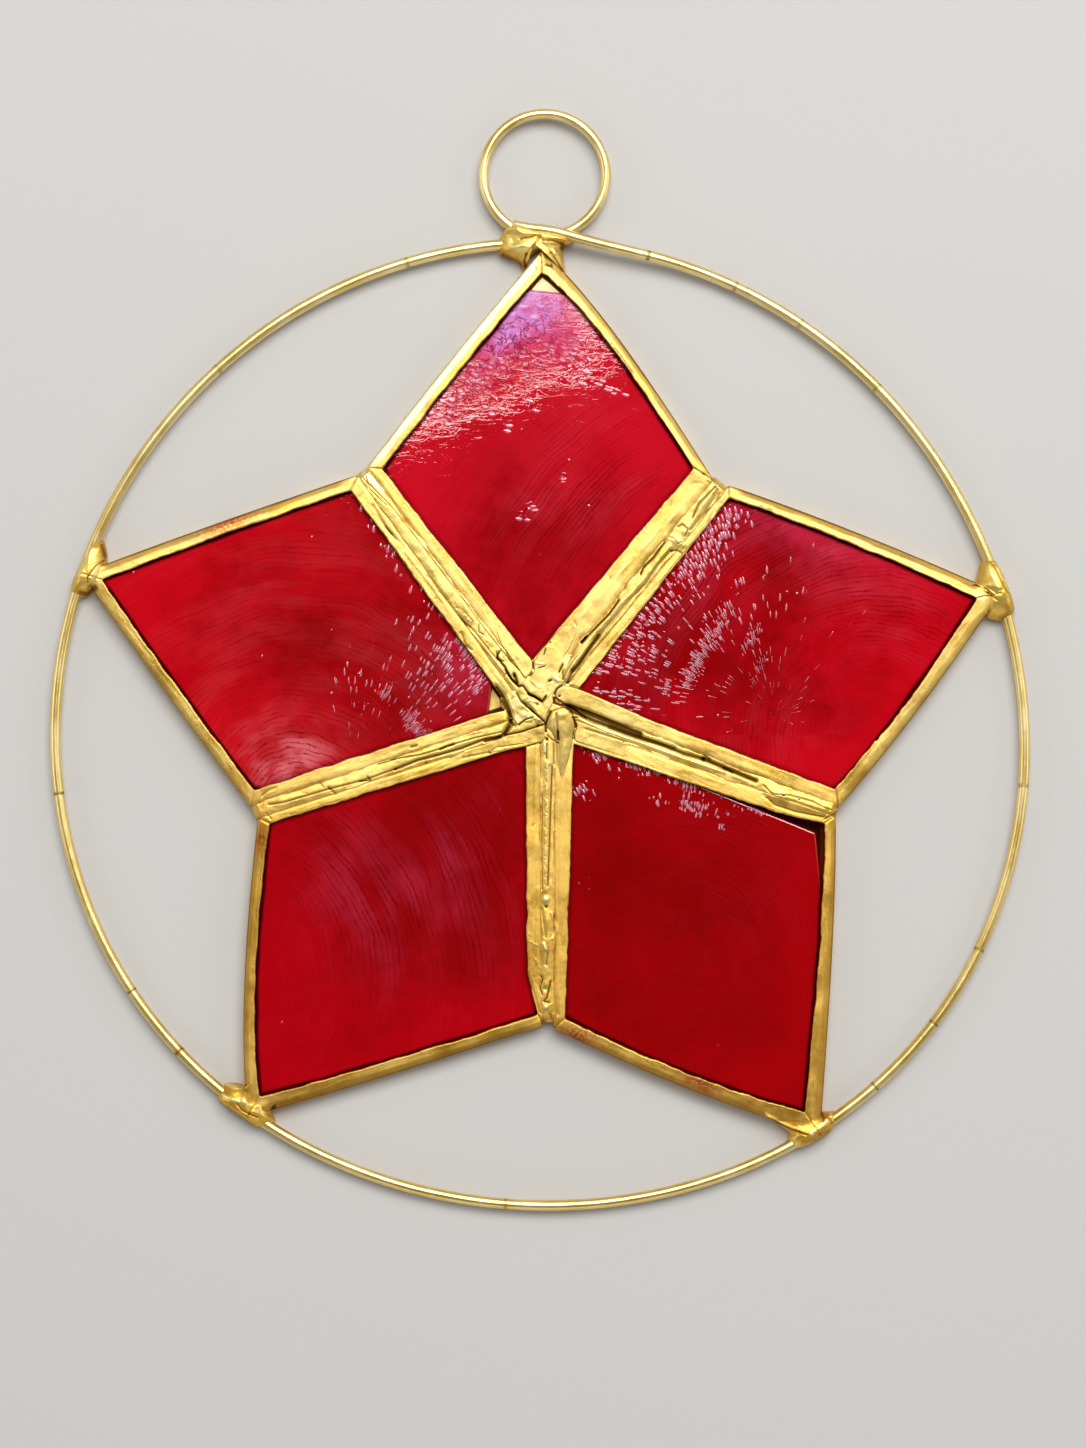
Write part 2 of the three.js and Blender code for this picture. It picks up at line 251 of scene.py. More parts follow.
@dataclass
class Skin:
    """One closed surface: rings of points carried along a path.

    Attributes:
        rings: points in millimetres, ring by ring.
        looped: whether the last ring joins the first; otherwise a pole closes each end.
        marks: values kept at each point, by name.
        span: how far the surface map runs along and round.
    """

    rings: Array
    looped: bool
    marks: dict[str, Array] = field(default_factory=dict)
    span: tuple[float, float] = (1.0, 1.0)

    def corners(self) -> tuple[Array, Array, Array, Array, dict[str, Array]]:
        """Works out the surface's points and faces.

        Returns:
            Points, four-sided faces, their map corners, three-sided faces at the
            poles, and the marks as flat arrays.
        """
        count, round_count = self.rings.shape[:2]
        points = self.rings.reshape(-1, 3)
        steps = count if self.looped else count - 1
        i, j = np.meshgrid(np.arange(steps), np.arange(round_count), indexing="ij")
        i1, j1 = (i + 1) % count, (j + 1) % round_count
        here, ahead = i * round_count, i1 * round_count
        quads = np.stack([here + j, ahead + j, ahead + j1, here + j1], -1).reshape(-1, 4)
        u = np.stack([i, i + 1, i + 1, i], -1) / steps * self.span[0]
        v = np.stack([j, j, j + 1, j + 1], -1) / round_count * self.span[1]
        chart = np.stack([u, v], -1).reshape(-1, 4, 2)
        flat = {name: np.asarray(mark, float).reshape(-1) for name, mark in self.marks.items()}
        if self.looped:
            return points, quads, chart, np.zeros((0, 3), int), flat
        ends = np.stack([self.rings[0].mean(0), self.rings[-1].mean(0)])
        first, last = len(points), len(points) + 1
        j = np.arange(round_count)
        jn = (j + 1) % round_count
        base = (count - 1) * round_count
        near = np.stack([np.full_like(j, first), j, jn], -1)
        far = np.stack([np.full_like(j, last), base + jn, base + j], -1)
        tris = np.concatenate([near, far])
        for name, mark in self.marks.items():
            whole = np.asarray(mark, float)
            flat[name] = np.concatenate([flat[name], [whole[0].mean(), whole[-1].mean()]])
        return np.concatenate([points, ends]), quads, chart, tris, flat


def signed_volume(points: Array, tris: Array) -> float:
    """Adds up the wedges from the origin to each face: positive where faces look outwards."""
    a, b, c = points[tris[:, 0]], points[tris[:, 1]], points[tris[:, 2]]
    return float((a * np.cross(b, c)).sum() / 6.0)


def make_piece(name: str, skins: Sequence[Skin], material: bpy.types.Material) -> bpy.types.Object:
    """Puts closed surfaces into one mesh object.

    Args:
        name: the piece's name.
        skins: its closed surfaces.
        material: its finish.

    Returns:
        The object, at the origin, with its place in its mesh.
    """
    points, faces, charts = [], [], []
    marks: dict[str, list[Array]] = {}
    names = sorted({key for skin in skins for key in skin.marks})
    total = 0
    for skin in skins:
        p, quads, chart, tris, flat = skin.corners()
        halves = np.concatenate([quads[:, [0, 1, 2]], quads[:, [0, 2, 3]], tris])
        if signed_volume(p, halves) < 0:
            quads, chart, tris = quads[:, ::-1], chart[:, ::-1], tris[:, ::-1]
        points.append(p)
        faces += (quads + total).tolist() + (tris + total).tolist()
        charts.append(chart.reshape(-1, 2))
        charts.append(np.zeros((len(tris) * 3, 2)))
        for key in names:
            marks.setdefault(key, []).append(flat.get(key, np.zeros(len(p))))
        total += len(p)
    mesh = bpy.data.meshes.new(name)
    mesh.from_pydata((np.concatenate(points) * METRES).tolist(), [], faces)
    mesh.polygons.foreach_set("use_smooth", np.ones(len(faces), bool))
    layer = mesh.uv_layers.new(name="strip")
    layer.data.foreach_set("uv", np.concatenate(charts).astype(np.float32).ravel())
    for key, parts in marks.items():
        attribute = mesh.attributes.new(key, "FLOAT", "POINT")
        attribute.data.foreach_set("value", np.concatenate(parts).astype(np.float32))
    mesh.materials.append(material)
    mesh.update()
    piece = bpy.data.objects.new(name, mesh)
    bpy.context.scene.collection.objects.link(piece)
    return piece


# Marks left by the maker


@dataclass(frozen=True)
class Stroke:
    """A ridge, crease, crack or pit pressed into the metal.

    Attributes:
        path: its line on the plan.
        width: half width in millimetres.
        rise: height in millimetres, negative for a crease.
        grime: how dark it is, 0 to 1, dirt and painted shade in the crease; negative
        for a pale line, partly worn bright and partly painted highlight.
    """

    path: tuple[Place, ...]
    width: float = 0.12
    rise: float = -0.12
    grime: float = 0.8

    def lay(self, points: Array, path: Array) -> tuple[Array, Array]:
        """Works out the stroke's height and grime at points.

        Both fall off as a bell curve of the distance from the line.

        Args:
            points: places in millimetres.
            path: the stroke's line in millimetres.

        Returns:
            Heights and darkening.
        """
        line = np.atleast_2d(path)
        if len(line) == 1:
            line = np.repeat(line, 2, axis=0)
        away, _ = distance_to_path(points, line)
        bell = np.exp(-((away / self.width) ** 2))
        return self.rise * bell, self.grime * bell


@dataclass
class Chasing:
    """All the maker's marks on the front of the metal.

    Attributes:
        strokes: each mark, and its line in millimetres.
    """

    strokes: list[tuple[Stroke, Array]] = field(default_factory=list)

    def on_plan(self, *strokes: Stroke) -> None:
        """Adds strokes drawn on the plan."""
        self.strokes += [(stroke, plan(stroke.path)) for stroke in strokes]

    def lay(self, points: Array) -> tuple[Array, Array]:
        """Adds up every stroke at points.

        Args:
            points: places in millimetres, any shape with a last axis of 2.

        Returns:
            Heights and darkening.
        """
        shape = points.shape[:-1]
        flat = points.reshape(-1, 2)
        rise, grime = np.zeros(len(flat)), np.zeros(len(flat))
        for stroke, path in self.strokes:
            margin = stroke.width * 2.6
            low, high = path.min(0) - margin, path.max(0) + margin
            near = np.all((flat > low) & (flat < high), axis=1)
            if near.any():
                up, dark = stroke.lay(flat[near], path)
                rise[near] += up
                grime[near] += dark
        return rise.reshape(shape), grime.reshape(shape)


# Finishes


class Bench:
    """Adds and links the nodes of one material."""

    def __init__(self, name: str) -> None:
        """Starts an empty material with one surface shader.

        Args:
            name: the material's name.
        """
        self.material = bpy.data.materials.new(name)
        self.material.use_nodes = True
        self.tree = self.material.node_tree
        self.tree.nodes.clear()
        self.surface = self.tree.nodes.new("ShaderNodeBsdfPrincipled")
        out = self.tree.nodes.new("ShaderNodeOutputMaterial")
        self.tree.links.new(self.surface.outputs[0], out.inputs[0])

    def put(self, socket: Socket, value: object) -> None:
        """Links a value into a socket, or sets it there.

        Args:
            socket: the input socket.
            value: an output socket, a number or a colour.
        """
        if isinstance(value, bpy.types.NodeSocket):
            self.tree.links.new(value, socket)
        elif isinstance(value, tuple) and len(value) == 3 and socket.type == "RGBA":
            socket.default_value = (*value, 1.0)
        else:
            socket.default_value = value

    def node(self, kind: str, settings: dict[str, object], inputs: dict[object, object]) -> bpy.types.Node:
        """Adds a node.

        Args:
            kind: the node's type.
            settings: its properties.
            inputs: its input sockets by name or number.

        Returns:
            The node.
        """
        made = self.tree.nodes.new(kind)
        for key, value in settings.items():
            setattr(made, key, value)
        for key, value in inputs.items():
            self.put(made.inputs[key], value)
        return made

    def space(self, stretch: Spot = MILLIMETRES, shift: Spot = (0.0, 0.0, 0.0)) -> Socket:
        """Gives object coordinates, in millimetres unless stretched otherwise.

        Args:
            stretch: what each coordinate is multiplied by.
            shift: what is added to each after that.

        Returns:
            The coordinates.
        """
        coords = self.node("ShaderNodeTexCoord", {}, {}).outputs["Object"]
        inputs = {0: coords, "Scale": stretch, "Location": shift}
        return self.node("ShaderNodeMapping", {}, inputs).outputs[0]

    def strip(self, stretch: Spot) -> Socket:
        """Gives the piece's own map, stretched along and across."""
        chart = self.node("ShaderNodeUVMap", {"uv_map": "strip"}, {})
        return self.node("ShaderNodeMapping", {}, {0: chart.outputs[0], "Scale": stretch}).outputs[0]

    def mark(self, name: str) -> Socket:
        """Gives a value kept at the mesh's points."""
        return self.node("ShaderNodeAttribute", {"attribute_name": name}, {}).outputs["Fac"]

    def noise(
        self, where: Socket, scale: float, detail: float = 3.0, rough: float = 0.55, bend: float = 0.0
    ) -> Socket:
        """Gives cloudy noise, 0 to 1, with scale clouds in each unit of the coordinates."""
        inputs = {"Vector": where, "Scale": scale, "Detail": detail, "Roughness": rough, "Distortion": bend}
        return self.node("ShaderNodeTexNoise", {}, inputs).outputs["Fac"]

    def ramp(
        self, value: Socket, low: float, high: float, to_low: float = 0.0, to_high: float = 1.0
    ) -> Socket:
        """Maps a range of values smoothly to another.

        Args:
            value: the value.
            low: where the range starts.
            high: where it ends, less than low for a falling ramp.
            to_low: what is given up to its start.
            to_high: what is given past its end.

        Returns:
            The mapped value.
        """
        ends = {"From Min": low, "From Max": high, "To Min": to_low, "To Max": to_high}
        smooth = {"interpolation_type": "SMOOTHSTEP"}
        return self.node("ShaderNodeMapRange", smooth, {"Value": value, **ends}).outputs[0]

    def maths(self, kind: str, a: object, b: object = 0.0) -> Socket:
        """Does one sum."""
        return self.node("ShaderNodeMath", {"operation": kind}, {0: a, 1: b}).outputs[0]

    def times(self, a: object, b: object) -> Socket:
        """Multiplies two values."""
        return self.maths("MULTIPLY", a, b)

    def plus(self, a: object, b: object) -> Socket:
        """Adds two values."""
        return self.maths("ADD", a, b)

    def apart(self, where: Socket) -> Sequence[Socket]:
        """Gives the coordinates of a place one by one."""
        return self.node("ShaderNodeSeparateXYZ", {}, {0: where}).outputs

    def flat(self, x: Socket, y: Socket) -> Socket:
        """Puts two coordinates together, with none upwards."""
        return self.node("ShaderNodeCombineXYZ", {}, {0: x, 1: y, 2: 0.0}).outputs[0]

    def blend(self, share: object, a: object, b: object, kind: str = "MIX") -> Socket:
        """Mixes two colours.

        Args:
            share: how much of the second shows, 0 to 1.
            a: the first colour.
            b: the second colour.
            kind: how they mix.

        Returns:
            The mixed colour.
        """
        made = self.node("ShaderNodeMix", {"data_type": "RGBA", "blend_type": kind}, {})
        self.put(made.inputs[0], share)
        self.put(made.inputs[6], a)
        self.put(made.inputs[7], b)
        return made.outputs[2]

    def bump(self, height: Socket, depth: float, under: Socket | None = None) -> Socket:
        """Tilts the surface by a height field.

        Args:
            height: the height field, 0 to 1.
            depth: how deep it is, in millimetres.
            under: the tilt that it is laid on.

        Returns:
            The tilted direction.
        """
        inputs = {"Height": height, "Distance": depth * METRES, "Strength": 1.0}
        if under is not None:
            inputs["Normal"] = under
        return self.node("ShaderNodeBump", {}, inputs).outputs[0]


AMBER: Colour = (0.70, 0.36, 0.08)
# Tint of the painted shade laid on the lower half of the metal.
LOWER_SHADE_TINT: Colour = (0.90, 0.74, 0.42)
# Near white where the mark is lowest: partly worn bright metal, partly painted highlight.
POLISH_AND_HIGHLIGHT: Colour = (1.0, 0.95, 0.80)
DYE: Colour = (0.36, 0.015, 0.012)
# Near black: painted shade in the deepest gaps and cracks.
GAP_SHADE: Colour = (0.03, 0.005, 0.001)


@dataclass(frozen=True)
class Gilt:
    """A gilded brass finish.

    Attributes:
        name: the material's name.
        bright: colour of its brighter, worn patches.
        dull: colour of the open surface.
        dark: colour of dirt and pits, and of painted shade in creases, gaps and at edges.
        rough: lowest and highest roughness.
        streaks: depth of the drawn streaks, in millimetres.
        dents: depth of the small dents, in millimetres.
        pits: how strong the pits are.
        lower_shade: how much darker the lower half of the ornament is painted: painted shade.
        specks: how strong the small dark specks are.
        rubbed_and_highlight: colour of its pale crests and facets: partly worn bright, partly
        painted highlight.
        amber: how strong the amber patches are.
    """

    name: str
    bright: Colour
    dull: Colour
    dark: Colour
    rough: tuple[float, float]
    streaks: float
    dents: float
    pits: float
    lower_shade: float = 0.0
    specks: float = 0.6
    rubbed_and_highlight: Colour = (1.0, 0.89, 0.50)
    amber: float = 0.0

    def material(self) -> bpy.types.Material:
        """Makes the material.

        Clouds and long streaks blend the bright and dull colours. The grime
        mark darkens them with dirt and with painted shade in creases, gaps and at
        edges, and paints them pale where it is negative, partly worn bright and partly
        painted highlight. Small pits darken them, the lower half is painted darker as
        painted shade, and the dye mark stains them red. Streaks run along the piece's
        own map; dents and pits lie in object coordinates.

        Returns:
            The material.
        """
        b = Bench(self.name)
        where = b.space()
        clouds = b.noise(where, 0.22, 4.0, 0.6)
        specks = b.noise(where, 2.6, 5.0, 0.65)
        streak = b.noise(b.strip((1.0, 16.0, 1.0)), 1.0, 4.0, 0.6)
        grime, stain = b.mark("grime"), b.mark("dye")
        tone = b.plus(b.times(clouds, 0.55), b.times(streak, 0.30))
        tone = b.ramp(b.plus(tone, b.times(specks, 0.15)), 0.38, 0.62)
        colour = b.blend(tone, self.dull, self.bright)
        patches_at = b.space(shift=(7.0, 3.0, 0.0))
        amber = b.ramp(b.noise(patches_at, 0.75, 4.0, 0.6), 0.50, 0.72, 0.0, self.amber)
        colour = b.blend(amber, colour, AMBER)
        patina = b.times(b.ramp(specks, 0.58, 0.78), b.ramp(clouds, 0.58, 0.38, 0.0, self.specks))
        # Darkening by the mark: dirt and patina, and painted shade in creases, gaps and at edges.
        dirt_and_shade = b.maths("MINIMUM", b.plus(b.ramp(grime, 0.06, 0.85), patina), 1.0)
        colour = b.blend(dirt_and_shade, colour, self.dark)
        low = b.apart(where)[1]
        # Painted shade: darker towards the bottom of the plan, the side away from the light.
        colour = b.blend(b.ramp(low, 2.0, -14.0, 0.0, self.lower_shade), colour, LOWER_SHADE_TINT, "MULTIPLY")
        spread = {"Vector": where, "Scale": 0.8, "Randomness": 1.0}
        cells = b.node("ShaderNodeTexVoronoi", {"feature": "F1"}, spread).outputs["Distance"]
        pit = b.times(b.ramp(cells, 0.02, 0.11, 1.0, 0.0), self.pits)
        colour = b.blend(b.times(pit, 0.8), colour, self.dark)
        # Where the mark is negative the metal is painted pale: partly worn bright, partly painted highlight
        # on crests, facets and lit sides.
        colour = b.blend(b.ramp(grime, 0.0, -0.6), colour, self.rubbed_and_highlight)
        colour = b.blend(b.ramp(grime, -0.8, -1.2), colour, POLISH_AND_HIGHLIGHT)
        colour = b.blend(b.times(stain, b.ramp(specks, 0.30, 0.60)), colour, DYE)
        # Near black where the mark passes 1: painted shade in the deepest gaps and cracks.
        colour = b.blend(b.ramp(grime, 1.0, 1.6), colour, GAP_SHADE)
        b.put(b.surface.inputs["Base Color"], colour)
        b.surface.inputs["Metallic"].default_value = 1.0
        rough = b.ramp(b.plus(clouds, b.times(specks, 0.3)), 0.45, 0.85, *self.rough)
        b.put(b.surface.inputs["Roughness"], b.plus(rough, b.times(dirt_and_shade, 0.25)))
        soft = b.bump(b.noise(where, 0.9, 3.0, 0.55, 0.5), self.dents)
        lines = b.bump(streak, self.streaks, soft)
        fine = b.bump(specks, self.dents * 0.14, lines)
        b.put(b.surface.inputs["Normal"], b.bump(b.times(pit, -1.0), 0.04, fine))
        return b.material


GROWTH_LINE: Colour = (0.07, 0.0, 0.0)
# Painted reflection: the lavender sheen and its pink edge.
SHEEN_REFLECTION_EDGE: Colour = (0.60, 0.09, 0.24)
SHEEN_REFLECTION: Colour = (0.60, 0.22, 0.56)
# Pale dashes: partly pale nacre, partly painted glints.
GLINT: Colour = (0.80, 0.30, 0.46)
# Painted shade in the creases of the crinkled lacquer.
FOLD_SHADE: Colour = (0.26, 0.002, 0.05)
# Painted shade in the crevice under the frame's lip, partly dirt.
RIM_SHADE: Colour = (0.04, 0.001, 0.002)


@dataclass(frozen=True)
class Lacquer:
    """Dyed shell under lacquer, with growth lines and ripples.

    Attributes:
        name: the material's name.
        deep: colour towards the hub.
        glow: colour towards the rim.
        rings: middle of the growth rings, in millimetres.
        lines: growth lines in each millimetre of radius.
        dusty: how strong the dusty pink growth lines are.
        ripple: depth of the ripples, in millimetres.
        veil: colour of the dusty growth lines.
        fan: place that the raised dashes point to, in millimetres.
        spokes: raised dashes in each radian about it.
        waver: how far the growth rings waver, in millimetres.
    """

    name: str
    deep: Colour
    glow: Colour
    rings: Place
    lines: float
    dusty: float
    ripple: float
    veil: Colour
    fan: Place
    spokes: float
    waver: float = 2.2

    def polar(self, b: Bench, middle: Place, bend: float) -> tuple[Socket, Socket]:
        """Turns a place into its radius, wavering by noise, and its angle about a middle.

        Args:
            b: the material being made.
            middle: the middle, in millimetres.
            bend: how far the radius wavers, in millimetres.

        Returns:
            Radius in millimetres and angle in radians.
        """
        where = b.space(shift=(-middle[0], -middle[1], 0.0))
        x, y = b.apart(where)[:2]
        radius = b.node("ShaderNodeVectorMath", {"operation": "LENGTH"}, {0: b.flat(x, y)}).outputs["Value"]
        radius = b.plus(radius, b.times(b.noise(where, 0.11, 2.0, 0.45), bend))
        return radius, b.maths("ARCTAN2", y, x)

    def growth(self, b: Bench, along: float, across: float, detail: float = 2.0) -> Socket:
        """Reads noise at angle times along and radius times across, so that it follows the rings."""
        radius, angle = self.polar(b, self.rings, self.waver)
        return b.noise(b.flat(b.times(radius, across), b.times(angle, along)), 1.0, detail, 0.6)

    def arcs(self, b: Bench) -> Socket:
        """Makes fine growth arcs: the sine of the radius, pushed about by noise, thinned and broken up.

        Args:
            b: the material being made.

        Returns:
            The arcs, 0 to 1.
        """
        radius, _ = self.polar(b, self.rings, self.waver)
        push = b.times(self.growth(b, 5.0, 0.9), 9.0)
        wave = b.maths("SINE", b.plus(b.times(radius, self.lines * 2 * math.pi), push))
        broken = b.ramp(self.growth(b, 4.0, self.lines * 0.7), 0.38, 0.60, 0.15, 1.0)
        return b.times(b.ramp(wave, 0.25, 0.95), broken)

    def cells(self, b: Bench, where: Socket, share: Socket, size: float) -> Socket:
        """Makes scattered bumps, at most one in each cell.

        Args:
            b: the material being made.
            where: places, one unit to a cell.
            share: how many of the cells have a bump, picked by a random draw.
            size: how wide a bump is, in cells.

        Returns:
            The bumps, 0 to 1.
        """
        kind = {"voronoi_dimensions": "2D", "feature": "F1"}
        made = b.node("ShaderNodeTexVoronoi", kind, {"Vector": where, "Scale": 1.0, "Randomness": 0.9})
        draw = b.apart(made.outputs["Color"])[0]
        shown = b.ramp(b.maths("SUBTRACT", share, draw), 0.0, 0.03)
        return b.times(b.ramp(made.outputs["Distance"], size * 0.2, size, 1.0, 0.0), shown)

    def dashes(self, b: Bench, glint: Socket) -> Socket:
        """Makes short raised dashes that point to the fan's middle, and stray specks.

        Args:
            b: the material being made.
            glint: where they stand close together.

        Returns:
            The raised marks, 0 to 1.
        """
        radius, angle = self.polar(b, self.fan, 1.5)
        rows = b.ramp(self.growth(b, 2.5, 0.5, 1.0), 0.36, 0.56, 0.3, 1.0)
        spot = b.flat(radius, b.times(angle, self.spokes))
        long = self.cells(b, spot, b.times(b.times(glint, rows), 1.5), 0.55)
        specks = self.cells(b, b.space((900.0, 900.0, 900.0)), b.plus(b.times(glint, 0.30), 0.012), 0.16)
        return b.maths("MAXIMUM", long, specks)

    def material(self) -> bpy.types.Material:
        """Makes the material.

        Clouds and the glow mark blend the deep and glowing reds. A dusty pink veil lies
        over them in bands and patches, and fine dark growth arcs part it. The rim mark
        darkens the colour: painted shade in the crevice under the frame's lip, partly
        dirt. The sheen mark paints a pale lavender sheen: a painted reflection of the
        light. Swells bend the gloss, and raised dashes, where the glint mark is, break
        it into glints; the dashes are also painted pale, partly pale nacre and partly
        painted glints. Where the crinkle mark is, drawn-out ripples rise, the lacquer
        is thin between them, and the folds are painted dark as shade in the creases.

        Returns:
            The material.
        """
        b = Bench(self.name)
        plain = b.space()
        clouds = b.noise(plain, 0.10, 4.0, 0.6)
        mottle = b.noise(plain, 0.7, 5.0, 0.62)
        names = ("glow", "rim", "glint", "sheen", "dust", "crinkle")
        glow, rim, glint, sheen, dusk, crinkled = (b.mark(name) for name in names)
        fine = self.growth(b, 9.0, self.lines, 3.0)
        band = self.growth(b, 1.2, self.lines * 0.16, 2.0)
        hatch = self.growth(b, 75.0, self.lines * 0.30, 2.0)
        warm = glow
        for cloud, share in ((clouds, 1.3), (mottle, 0.45), (fine, 0.4)):
            warm = b.plus(warm, b.times(b.maths("SUBTRACT", cloud, 0.5), share))
        colour = b.blend(b.ramp(warm, -0.1, 1.1), self.deep, self.glow)
        lines = b.times(self.arcs(b), b.ramp(hatch, 0.36, 0.56, 0.45, 1.0))
        veil = b.times(b.ramp(band, 0.40, 0.62, 0.15, 1.0), b.ramp(clouds, 0.36, 0.56, 0.3, 1.0))
        clear = b.maths("SUBTRACT", 1.0, b.times(lines, 0.9))
        dust = b.times(b.times(clear, veil), b.times(dusk, self.dusty))
        colour = b.blend(b.times(lines, b.ramp(dusk, 0.0, 1.2, 0.08, 0.6)), colour, GROWTH_LINE)
        colour = b.blend(b.maths("MINIMUM", dust, 1.0), colour, self.veil)
        # Painted reflection: the sheen mark lays a pale lavender sheen over the red.
        painted_sheen = b.times(sheen, b.ramp(mottle, 0.34, 0.62, 0.45, 1.0))
        tint = b.blend(b.ramp(sheen, 0.55, 1.0), SHEEN_REFLECTION_EDGE, SHEEN_REFLECTION)
        colour = b.blend(painted_sheen, colour, tint)
        raised = self.dashes(b, glint)
        # The raised dashes are also painted pale: partly pale nacre, partly painted glints.
        colour = b.blend(b.times(raised, 0.5), colour, GLINT)
        # The crinkles' folds are painted dark: painted shade in the creases.
        fold = b.maths("ABSOLUTE", b.maths("SUBTRACT", b.noise(plain, 0.55, 3.0, 0.6, 0.5), 0.5))
        fold = b.times(b.ramp(fold, 0.0, 0.035, 1.0, 0.0), crinkled)
        colour = b.blend(b.times(fold, 0.75), colour, FOLD_SHADE)
        # The rim mark paints the crevice under the frame's lip dark: painted shade, partly dirt.
        colour = b.blend(rim, colour, RIM_SHADE)
        b.put(b.surface.inputs["Base Color"], colour)
        b.surface.inputs["Roughness"].default_value = 0.45
        b.surface.inputs["Specular IOR Level"].default_value = 0.0
        ripples = b.noise(b.space((620.0, 1700.0, 1000.0)), 1.0, 3.0, 0.55, 0.3)
        thin = b.times(crinkled, b.ramp(ripples, 0.51, 0.65, 1.15, 0.0))
        thick = b.maths("MAXIMUM", b.maths("SUBTRACT", 1.0, thin), 0.08)
        weight = b.times(b.ramp(sheen, 0.0, 0.9, 1.0, 0.35), b.ramp(rim, 0.2, 0.8, 1.0, 0.1))
        b.put(b.surface.inputs["Coat Weight"], b.times(weight, thick))
        b.surface.inputs["Coat Roughness"].default_value = 0.03
        b.surface.inputs["Coat IOR"].default_value = 1.9
        swell = b.noise(plain, 0.20, 2.0, 0.5)
        creases = b.times(b.ramp(ripples, 0.40, 0.66), b.plus(0.02, b.times(crinkled, 0.45)))
        creases = b.maths("SUBTRACT", creases, b.times(fold, 0.8))
        gloss = b.bump(creases, self.ripple, b.bump(swell, self.ripple * 0.07))
        gloss = b.bump(raised, self.ripple * 1.05, gloss)
        b.put(b.surface.inputs["Normal"], b.bump(fine, 0.02, gloss))
        b.put(b.surface.inputs["Coat Normal"], gloss)
        return b.material


class Finish(Enum):
    """The finishes of the metal pieces."""

    WIRE = Gilt(
        "gilt_wire", (1.0, 0.81, 0.38), (0.90, 0.64, 0.19), (0.22, 0.11, 0.02), (0.29, 0.38),
        streaks=0.0015, dents=0.004, pits=0.0, lower_shade=0.2, specks=0.1,
    )
    STRIP = Gilt(
        "gilt_strip", (0.95, 0.71, 0.23), (0.72, 0.44, 0.075), (0.17, 0.08, 0.01), (0.38, 0.54),
        streaks=0.012, dents=0.02, pits=0.35, lower_shade=0.7, specks=0.6, amber=0.6,
    )
    SEAM = Gilt(
        "gilt_seam", (0.93, 0.71, 0.24), (0.76, 0.49, 0.095), (0.14, 0.065, 0.008), (0.38, 0.52),
        streaks=0.006, dents=0.02, pits=0.3, lower_shade=0.7, specks=0.4, amber=0.7,
    )
    SOLDER = Gilt(
        "gilt_solder", (0.92, 0.66, 0.18), (0.76, 0.45, 0.06), (0.26, 0.11, 0.008), (0.38, 0.50),
        streaks=0.003, dents=0.02, pits=0.2, lower_shade=0.4, specks=0.3, rubbed_and_highlight=(0.98, 0.78, 0.27),
    )


# The seams


